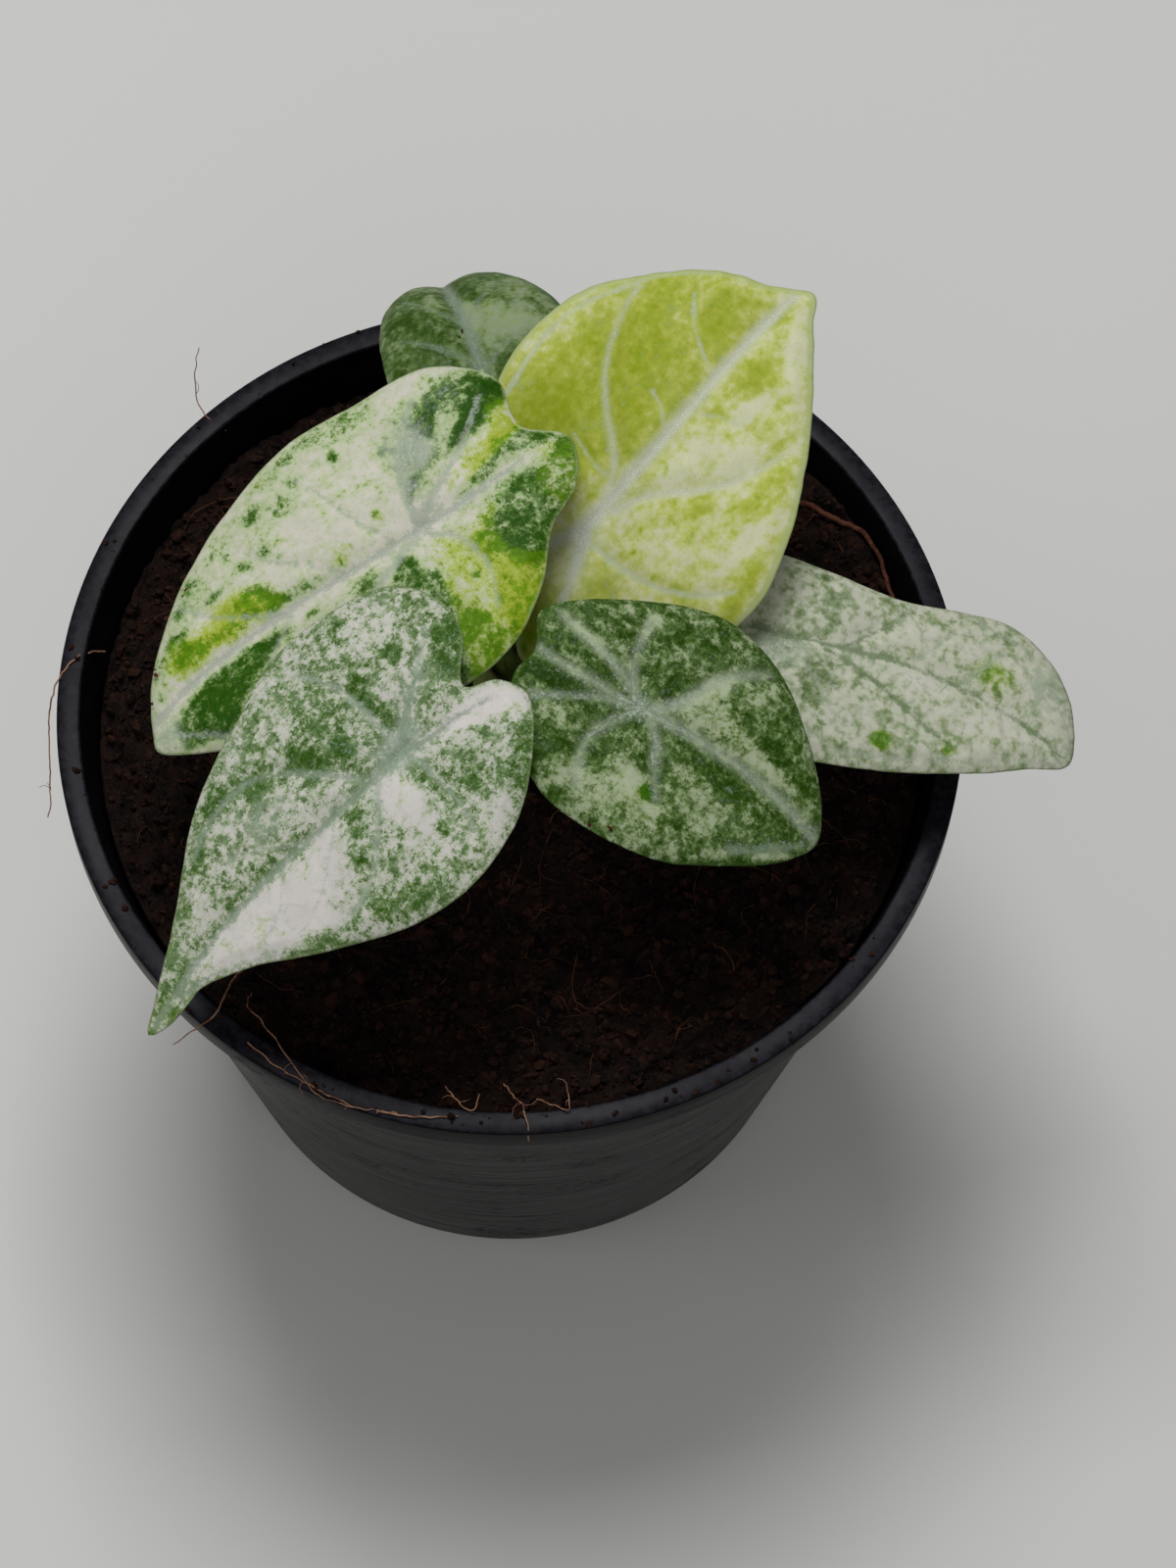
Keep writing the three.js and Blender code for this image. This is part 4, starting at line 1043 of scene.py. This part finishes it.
def potMesh():
    height, outer = pot["height"], pot["rimRadius"]
    underBand = height - pot["bandThickness"]
    skirtInner = outer - pot["skirtThickness"]
    bm = spun([
        (0, 0), (pot["baseRadius"], 0), (innerRadius(underBand) + pot["wall"], underBand),
        (skirtInner, underBand), (skirtInner, height - pot["skirtDrop"]), (outer, height - pot["skirtDrop"]),
        (outer, height), (innerRadius(height), height), (innerRadius(pot["floor"]), pot["floor"]),
        (0, pot["floor"]),
    ], pot["spokes"])
    roundEdges(bm, pot["edgeRound"])
    shell = placed("shell", fromBmesh(bm, "shell"))

    bm = bmesh.new()
    for k in range(pot["holes"]):
        turn = (k + 0.5) * 2 * math.pi / pot["holes"]
        centre = (pot["holeCircle"] * math.cos(turn), pot["holeCircle"] * math.sin(turn), 0)
        bmesh.ops.create_cone(bm, cap_ends=True, segments=pot["holeSides"], radius1=pot["holeRadius"],
                              radius2=pot["holeRadius"], depth=4 * pot["floor"],
                              matrix=Matrix.Translation(centre))
    drills = placed("drills", fromBmesh(bm, "drills"))
    cut = shell.modifiers.new("drainHoles", "BOOLEAN")
    cut.operation = "DIFFERENCE"
    cut.solver = "EXACT"
    cut.object = drills
    mesh = baked(shell)
    bpy.data.objects.remove(drills)
    return mesh


def potMaterial():
    material, tree, shader = newMaterial("blackPlastic")
    place = add(tree, "TexCoord").outputs["Object"]
    dust = noiseAt(tree, place, 90, 4, 0.65)
    specks = noiseAt(tree, place, 900, 3, 0.7)
    around = add(tree, "Mapping", Vector=place, Scale=(60, 60, 2600)).outputs[0]
    scuffs = noiseAt(tree, around, 1.0, 3, 0.6)
    upward = add(tree, "SeparateXYZ", Vector=add(tree, "NewGeometry").outputs["Normal"]).outputs["Z"]
    speckled = step(tree, specks, 0.45, 0.62, 0.15, 1.0)
    dusty = math2(tree, "MULTIPLY", step(tree, dust, 0.45, 0.75), speckled)
    colour = mixColours(tree, dusty, tone(9, 9, 10), tone(24, 21, 21))
    # dust that settled on what faces up, and a painted sheen that makes the rim band's top lighter and bluish
    cloudy = step(tree, dust, 0.3, 0.7, 0.55, 1.0)
    dustAndSheen = math2(tree, "MULTIPLY", step(tree, upward, 0.5, 0.95), cloudy)
    dustAndSheenTone = mixColours(tree, step(tree, specks, 0.4, 0.62), tone(20, 19, 25), tone(36, 34, 42))
    colour = mixColours(tree, dustAndSheen, colour, dustAndSheenTone)
    scuffed = step(tree, scuffs, 0.35, 0.7, 0.26, 0.4)
    rough = math2(tree, "ADD", scuffed, math2(tree, "MULTIPLY", dusty, 0.2))
    height = math2(tree, "MULTIPLY", math2(tree, "ADD", scuffs, specks), 0.5)
    dress(tree, shader, colour, rough, height, potSkin["relief"], potSkin["specular"])
    return material


whole = potMesh()
newPiece("nurseryPot", whole, [potMaterial()], "pot_plastic", "pot")
print("pot spun", len(whole.polygons), "faces")


# Potting mix: a rough bed of coir, with loose crumbs and fibres on it
soil = {
    "gap": 0.3, "edgeDrop": 1.5, "rings": 190, "spokes": 440, "seed": 5,
    "swell": 0.9, "lumps": 1.1, "grit": 0.8,         # mm of relief
    # the bank at the wall: mm it rises, heading and spread in degrees, radius it starts at, its run in mm
    "bank": (3.0, 32, 30, 34, 12),
    "crumbs": (5600, 0.27, 0.88), "grains": (9000, 0.12, 0.32),  # how many, least and most mm of radius
    "fibres": 260, "fibreLength": (2.0, 11.0), "fibreRadius": (0.05, 0.11), "fibreSteps": 9,
    "waver": 0.16,            # radians that a fibre's heading strays by at each step
    "stretch": ((0.8, 1.5), (0.8, 1.1), (0.5, 0.9)),  # of a crumb along its three axes
    "batch": 400,             # crumbs joined at a time
}
coirSkin = {"relief": (0.8, 0.2), "specular": 0.12}


def soilHeight(x, y):
    swell = noise.noise(Vector((x * 0.045, y * 0.045, 1.3))) * soil["swell"]
    lumps = noise.fractal(Vector((x * 0.24, y * 0.24, 7.1)), 1.0, 2.0, 3) * soil["lumps"]
    grit = noise.fractal(Vector((x * 0.9, y * 0.9, 2.4)), 0.4, 2.1, 3) * soil["grit"]
    rise, heading, spread, start, length = soil["bank"]
    aside = (math.degrees(math.atan2(y, x)) - heading) / spread
    outward = min(max((math.hypot(x, y) - start) / length, 0), 1)
    bank = rise * math.exp(-aside ** 2) * outward
    return mixTop + swell + lumps + grit + bank


def soilMesh():
    edge = innerRadius(mixTop - soil["edgeDrop"]) - soil["gap"]
    bottom = pot["floor"] + soil["gap"]
    bm = bmesh.new()
    bm.from_mesh(diskMesh(soil["rings"], soil["spokes"]))
    for vert in bm.verts:
        x, y = vert.co.x * edge, vert.co.y * edge
        vert.co = (x, y, soilHeight(x, y))
    rim = [e for e in bm.edges if e.is_boundary]
    wall = bmesh.ops.extrude_edge_only(bm, edges=rim)["geom"]
    foot = [v for v in wall if isinstance(v, bmesh.types.BMVert)]
    shrink = (innerRadius(bottom) - soil["gap"]) / edge
    for vert in foot:
        vert.co = (vert.co.x * shrink, vert.co.y * shrink, bottom)
    bmesh.ops.holes_fill(bm, edges=[e for e in bm.edges if e.is_boundary])
    bmesh.ops.recalc_face_normals(bm, faces=bm.faces)
    return fromBmesh(bm, "mix")


def coirMaterial(name, dark, light, warm):
    material, tree, shader = newMaterial(name)
    place = add(tree, "TexCoord").outputs["Object"]
    grains = add(tree, "TexVoronoi", Vector=place, Scale=700.0).outputs["Color"]
    pick = add(tree, "SeparateColor", Color=grains).outputs[0]
    patches = noiseAt(tree, place, 120, 3, 0.6)
    fuzz = noiseAt(tree, place, 2600, 3, 0.7)
    picked = math2(tree, "MULTIPLY", pick, 0.6)
    share = math2(tree, "ADD", picked, math2(tree, "SUBTRACT", patches, 0.3))
    colour = mixColours(tree, step(tree, share, 0.15, 0.85), dark, light)
    colour = mixColours(tree, step(tree, fuzz, 0.5, 0.7, 0.0, 0.6), colour, warm)
    rough = step(tree, fuzz, 0.3, 0.7, 0.95, 0.75)
    dress(tree, shader, colour, rough, fuzz, coirSkin["relief"], coirSkin["specular"])
    return material


bedCoir = coirMaterial("coirBed", tone(9, 5, 4), tone(30, 17, 12), tone(40, 24, 17))
crumbCoir = coirMaterial("coirCrumbs", tone(11, 6, 5), tone(46, 26, 18), tone(66, 39, 27))
grainCoir = coirMaterial("coirGrains", tone(10, 6, 4), tone(52, 28, 19), tone(74, 44, 32))
redCoir = coirMaterial("redCrumbs", tone(44, 20, 13), tone(96, 48, 34), tone(118, 66, 50))
fibreCoir = coirMaterial("coirFibres", tone(40, 24, 17), tone(84, 54, 38), tone(104, 70, 50))

dice = random.Random(soil["seed"])
noise.seed_set(soil["seed"])    # noise_vector starts from the clock otherwise


# A few rough balls that all the loose crumbs are turned and scaled copies of
def roughBalls(count, low, high, create, **facets):
    balls = []
    for _ in range(count):
        bm = bmesh.new()
        create(bm, radius=1, **facets)
        for vert in bm.verts:
            vert.co *= dice.uniform(low, high)
        balls.append(fromBmesh(bm, "crumb"))
    return balls


def scattered(shapes, places):
    meshes = []
    for start in range(0, len(places), soil["batch"]):
        bm = bmesh.new()
        for place, size in places[start:start + soil["batch"]]:
            copy = dice.choice(shapes).copy()
            axis = Vector((dice.gauss(0, 1), dice.gauss(0, 1), 1)).normalized()
            turn = Matrix.Rotation(dice.uniform(0, 2 * math.pi), 4, axis)
            sizes = [size * dice.uniform(low, high) for low, high in soil["stretch"]]
            copy.transform(Matrix.Translation(place) @ turn @ Matrix.Diagonal((*sizes, 1)))
            bm.from_mesh(copy)
            bpy.data.meshes.remove(copy)
        meshes.append(fromBmesh(bm, "batch"))
    return joined(meshes)


def crumbPlaces(count, low, high):
    edge = innerRadius(mixTop) - 1.0
    places = []
    for _ in range(count):
        reach = edge * math.sqrt(dice.random())
        turn = dice.uniform(0, 2 * math.pi)
        x, y = reach * math.cos(turn), reach * math.sin(turn)
        size = low + (high - low) * dice.random() ** 2
        places.append(((x, y, soilHeight(x, y) + size * dice.uniform(0.0, 0.5)), size))
    return places


# A fibre lies on the mix in a loose bow, its ends a little raised or sunk
def fibrePath(x, y, heading, length, radius):
    path = []
    steps = soil["fibreSteps"]
    bow = dice.gauss(0, soil["waver"])
    for i in range(steps + 1):
        lift = 0.25 + 0.7 * math.sin(math.pi * i / steps) * dice.uniform(0.2, 1.0)
        path.append((x, y, soilHeight(x, y) + lift, radius * (1 - 0.6 * (i / steps) ** 2)))
        heading += bow + dice.gauss(0, soil["waver"])
        x += length / steps * math.cos(heading)
        y += length / steps * math.sin(heading)
    return path


def fibrePaths():
    reach = innerRadius(mixTop) - 1.0
    paths = []
    while len(paths) < soil["fibres"]:
        out, turn = (reach - 2) * math.sqrt(dice.random()), dice.uniform(0, 2 * math.pi)
        low, high = soil["fibreLength"]
        length = low + (high - low) * dice.random() ** 2
        heading, radius = dice.uniform(0, 2 * math.pi), dice.uniform(*soil["fibreRadius"])
        path = fibrePath(out * math.cos(turn), out * math.sin(turn), heading, length, radius)
        if all(math.hypot(x, y) < reach for x, y, _, _ in path):
            paths.append(path)
    return paths


newPiece("pottingMix", soilMesh(), [bedCoir], "potting_mix", "potting_mix")
crumbs = roughBalls(24, 0.62, 1.2, bmesh.ops.create_icosphere, subdivisions=1)
whole = scattered(crumbs, crumbPlaces(*soil["crumbs"]))
newPiece("looseCrumbs", whole, [crumbCoir], "potting_mix", smooth=False)
grains = roughBalls(16, 0.7, 1.3, bmesh.ops.create_uvsphere, u_segments=4, v_segments=2)
whole = scattered(grains, crumbPlaces(*soil["grains"]))
newPiece("looseGrains", whole, [grainCoir], "potting_mix", smooth=False)
newPiece("coirFibres", tube(fibrePaths(), 4), [fibreCoir], "potting_mix")
print("potting mix laid")


# Loose fibres and crumbs on the rim, as they fell when the plant was potted.
# Places in mm, heights counted from the rim's top; the first number is the fibre's radius
rimFibres = [
    (0.13, [(-33.6, 33.2, -1.0), (-36.2, 34.4, 0.3), (-37.2, 36.6, 2.2), (-37.0, 38.4, 4.6),
        (-36.6, 39.6, 6.6)]),
    (0.17, [(-45.6, 6.4, -4.0), (-47.4, 4.6, 0.1), (-49.6, 2.0, 0.4), (-50.9, -0.6, -1.4),
        (-51.2, -4.4, -4.6), (-50.8, -8.6, -7.6), (-51.0, -11.6, -9.4)]),
    (0.17, [(-26.4, -27.6, -5.6), (-28.0, -31.2, -3.2), (-28.8, -34.2, 0.4), (-29.8, -37.6, 0.6),
        (-32.1, -39.4, 0.5), (-34.6, -40.8, -1.0)]),
    (0.12, [(-26.8, -33.4, -4.6), (-27.2, -35.8, -1.6), (-25.2, -38.1, 0.2), (-22.6, -41.7, 0.3),
        (-20.4, -44.6, 0.3), (-19.1, -46.3, 0.1), (-15.6, -47.6, 0.4), (-12.6, -47.8, 0.2)]),
    (0.12, [(-26.4, -40.6, 0.2), (-23.8, -43.0, 0.3), (-20.6, -44.9, 0.4), (-17.4, -46.4, 0.3),
        (-14.8, -47.6, 0.3)]),
    (0.15, [(-12.4, -47.9, 0.2), (-9.6, -48.5, 0.3), (-7.0, -48.4, 0.3), (-3.6, -48.2, 0.2)]),
    (0.11, [(-5.4, -43.6, -3.6), (-4.4, -46.0, 0.1), (-2.8, -47.7, 0.3), (-1.8, -47.4, 0.8),
        (-1.6, -46.0, 1.2)]),
    (0.13, [(1.0, -42.8, -4.6), (2.2, -45.6, -0.4), (3.2, -47.0, 0.6), (3.7, -49.4, 0.3),
        (3.8, -50.3, -0.8)]),
    (0.12, [(4.6, -44.8, -3.0), (6.2, -46.5, 0.1), (8.2, -47.4, 0.4), (7.9, -46.4, 1.0), (7.6, -44.6, 1.6)]),
]
redRoot = (0.38, [(30.8, 29.2, -6.6), (32.4, 28.4, -4.4), (35.4, 26.0, -3.8), (38.6, 24.9, -3.6),
    (40.7, 21.8, -3.4), (41.6, 18.6, -3.6), (42.8, 15.6, -4.0), (43.6, 13.4, -5.6)])

laid = {
    "slim": 0.72, "thinEnd": 0.5,        # share of the radius that a rim fibre has, and keeps at its end
    "kinks": 0.22, "kinkScale": 0.9,     # mm to the side, and how close together, per mm
    "hairs": 2, "hairReach": (0.8, 2.2),  # for each fibre, and their length in mm
    # crumbs on the band: how many, heading and spread in radians, mm off its middle, least and added radius
    "crumbs": 110, "crumbHeading": (-1.6, 1.5), "crumbAside": (-1.2, 1.3), "crumbSize": (0.1, 0.42),
}


def laidFibre(radius, points):
    line = openCurve([(x, y, z + rimTop) for x, y, z in points])
    kinks = np.array([noise.noise_vector(Vector(place) * laid["kinkScale"]) for place in line])
    line = line + laid["kinks"] * kinks * (1, 1, 0.5)
    taper = np.linspace(1.0, laid["thinEnd"], len(line)) * radius
    return [(*place, r) for place, r in zip(line, taper)]


# Short hairs that branch off a fibre
def sideHairs(path, count):
    hairs = []
    for _ in range(count):
        x, y, z, radius = dice.choice(path[2:-2])
        heading = dice.uniform(0, 2 * math.pi)
        reach = dice.uniform(*laid["hairReach"])
        hair = []
        for share in (0, 0.3, 0.6, 1):
            turn = heading + share
            hair.append((x + reach * share * math.cos(turn), y + reach * share * math.sin(turn),
                         z + 0.3 * share, radius * (0.7 - 0.4 * share)))
        hairs.append(hair)
    return hairs


def rimCrumbPlaces(count):
    places = []
    middle = pot["rimRadius"] - pot["band"] / 2
    for _ in range(count):
        turn = dice.gauss(*laid["crumbHeading"])
        reach = middle + dice.uniform(*laid["crumbAside"])
        least, more = laid["crumbSize"]
        size = least + more * dice.random() ** 3
        places.append(((reach * math.cos(turn), reach * math.sin(turn), rimTop + size * 0.35), size))
    return places


paths = [laidFibre(radius * laid["slim"], points) for radius, points in rimFibres]
whole = tube(paths + [hair for path in paths for hair in sideHairs(path, laid["hairs"])], 8)
paleFibre = coirMaterial("paleFibres", tone(104, 70, 52), tone(168, 126, 100), tone(184, 146, 120))
newPiece("rimFibres", whole, [paleFibre], "potting_mix")
rootSkin = coirMaterial("rootSkin", tone(62, 34, 26), tone(98, 58, 44), tone(116, 74, 58))
newPiece("surfaceRoot", tube([laidFibre(*redRoot)], 12), [rootSkin], "potting_mix")
whole = scattered(crumbs, rimCrumbPlaces(laid["crumbs"]))
newPiece("rimCrumbs", whole, [crumbCoir], "potting_mix", smooth=False)
print("rim dressed")


# Crumbs that lie on the leaves: along, left and radius in mm
leafCrumbs = {
    "leaf_left_cream": [(23.2, -11.6, 0.2), (23.9, -11.3, 0.13), (26.8, -10.6, 0.26), (27.3, -10.2, 0.16),
                        (31.4, -6.4, 0.3), (31.1, -6.9, 0.17), (33.6, -4.2, 0.22), (9, -7.2, 0.14),
                        (4.6, -9, 0.08)],
    "leaf_centre_dark": [(4.5, -12.8, 0.42), (2.5, -13.9, 0.26), (8.6, -12.4, 0.18), (3.2, -13.3, 0.14)],
    "leaf_front_white": [(-4.5, -2.2, 0.12), (-9, -7, 0.09), (-3.2, 5.6, 0.1), (1.8, -10.6, 0.08)],
    "leaf_back_dark": [(7.4, 0.6, 0.26), (6.6, 1.1, 0.14), (-2.6, 8.2, 0.12)],
}


def crumbsOnLeaves():
    places = []
    for leaf in leaves:
        for along, across, size in leafCrumbs.get(leaf["node"], []):
            places.append((spotOn(leaf, along, across, 0.7, 0.75 + size * 0.3), size))
    return places


newPiece("leafCrumbs", scattered(crumbs, crumbsOnLeaves()), [redCoir], "potting_mix", smooth=False)


# Crown: the short stem base, with a papery sheath round each stalk
crown = {
    "radius": 7.2, "root": 8.0, "round": 2.2, "lumps": 0.5, "facets": 72,
    "sheathHeight": 9.0, "sheathWall": 0.25, "sheathRows": 10, "sheathSteps": 28, "sheathSink": 2.0,
}


def crownMesh():
    low, top, radius = mixTop - crown["root"], crownTop, crown["radius"]
    bm = spun([(0, low), (radius - 1, low), (radius, low + 3), (radius, top - 1.5),
               (radius - 2, top), (0, top + 0.4)], crown["facets"])
    roundEdges(bm, crown["round"] / 2, 4, 12)
    longEdges = [e for e in bm.edges if e.calc_length() > 1.2]
    bmesh.ops.subdivide_edges(bm, edges=longEdges, cuts=2, use_grid_fill=True)
    x, y = stalk["place"]
    for vert in bm.verts:
        swell = noise.fractal(vert.co * 0.35, 1.0, 2.0, 3) * crown["lumps"]
        out = Vector((vert.co.x, vert.co.y, 0))
        vert.co += out.normalized() * swell if out.length > 1 else Vector((0, 0, swell * 0.5))
        vert.co.x += x
        vert.co.y += y
    return fromBmesh(bm, "crown")


# A sheath wraps three quarters of its stalk and runs up to a point on the outside
def sheathMesh(leaf):
    x, y = stalkFoot(leaf)
    low = crownTop - crown["sheathSink"]
    facing = 0 if leaf["foot"] is None else leaf["foot"] * deg
    rows = crown["sheathRows"]
    bm = spun([(1, k / rows) for k in range(rows + 1)], crown["sheathSteps"], 1.5 * math.pi, 0)
    for vert in bm.verts:
        turn = math.atan2(vert.co.y, vert.co.x) % (2 * math.pi) - 0.75 * math.pi
        share = vert.co.z
        reach = crown["sheathHeight"] * (0.25 + 0.75 * max(math.cos(turn / 1.5), 0) ** 1.5)
        radius = stalk["footRadius"] + 0.55 + 0.5 * (1 - share) ** 2 + 0.35 * share ** 2
        radius += 0.12 * noise.noise(Vector((turn * 2, share * 3, facing)))
        angle = turn + facing
        vert.co = (x + radius * math.cos(angle), y + radius * math.sin(angle), low + reach * share)
    bmesh.ops.recalc_face_normals(bm, faces=bm.faces)
    obj = placed("sheath", fromBmesh(bm, "sheath"))
    wall = obj.modifiers.new("wall", "SOLIDIFY")
    wall.thickness = crown["sheathWall"]
    wall.offset = 0
    return baked(obj)


def sheathMaterial():
    material, tree, shader = newMaterial("papery")
    place = add(tree, "TexCoord").outputs["Object"]
    grainPlace = add(tree, "Mapping", Vector=place, Scale=(2200, 2200, 160)).outputs[0]
    streaks = noiseAt(tree, grainPlace, 1.0, 3, 0.6)
    height = add(tree, "SeparateXYZ", Vector=place).outputs["Z"]
    dry = step(tree, height, (crownTop - 1) * mm, (crownTop + 6) * mm)
    dry = math2(tree, "MULTIPLY", dry, step(tree, streaks, 0.2, 0.6))
    colour = mixColours(tree, step(tree, streaks, 0.3, 0.7), tone(108, 128, 62), tone(146, 158, 92))
    colour = mixColours(tree, dry, colour, tone(122, 84, 52))
    dress(tree, shader, colour, step(tree, streaks, 0.3, 0.7, 0.7, 0.5), streaks, (0.4, 0.1))
    return material


whole = joined([crownMesh()] + [sheathMesh(leaf) for leaf in leaves])
newPiece("crownAndSheaths", whole, [sheathMaterial()], "crown", "crown")
print("crown made")


# Floor and light
studio = {
    "floorHalf": 1.6, "floorTone": tone(214, 214, 212), "floorRoughness": 0.7,
    "air": (1, 0.99, 0.97, 1), "airStrength": 0.2,
}
# name, place in metres, width in metres, watts
lights = [
    ("key", (-0.06, 0.24, 0.8), 0.3, 3.7),
    ("fill", (0.1, -0.5, 0.65), 0.6, 0.7),
    ("side", (-0.7, -0.15, 0.3), 0.4, 0.7),
]


def addStage():
    bm = bmesh.new()
    bmesh.ops.create_grid(bm, x_segments=8, y_segments=8, size=studio["floorHalf"])
    mesh = fromBmesh(bm, "floor")
    obj = placed("floor", mesh)
    material, tree, shader = newMaterial("paleFloor")
    shader.inputs["Base Color"].default_value = studio["floorTone"]
    shader.inputs["Roughness"].default_value = studio["floorRoughness"]
    mesh.materials.append(material)


def addLights():
    aim = Vector((0, 0, rimTop * mm))
    for name, place, size, power in lights:
        data = bpy.data.lights.new(name, "AREA")
        data.shape = "SQUARE"
        data.size = size
        data.energy = power
        obj = placed(name, data)
        obj.location = place
        obj.rotation_euler = (aim - Vector(place)).to_track_quat("-Z", "Y").to_euler()
    world = bpy.data.worlds.new("studio")
    world.use_nodes = True
    air = world.node_tree.nodes["Background"].inputs
    air["Color"].default_value = studio["air"]
    air["Strength"].default_value = studio["airStrength"]
    bpy.context.scene.world = world


addStage()
addLights()
bpy.context.scene.view_settings.view_transform = "Standard"
print("floor and lights placed")
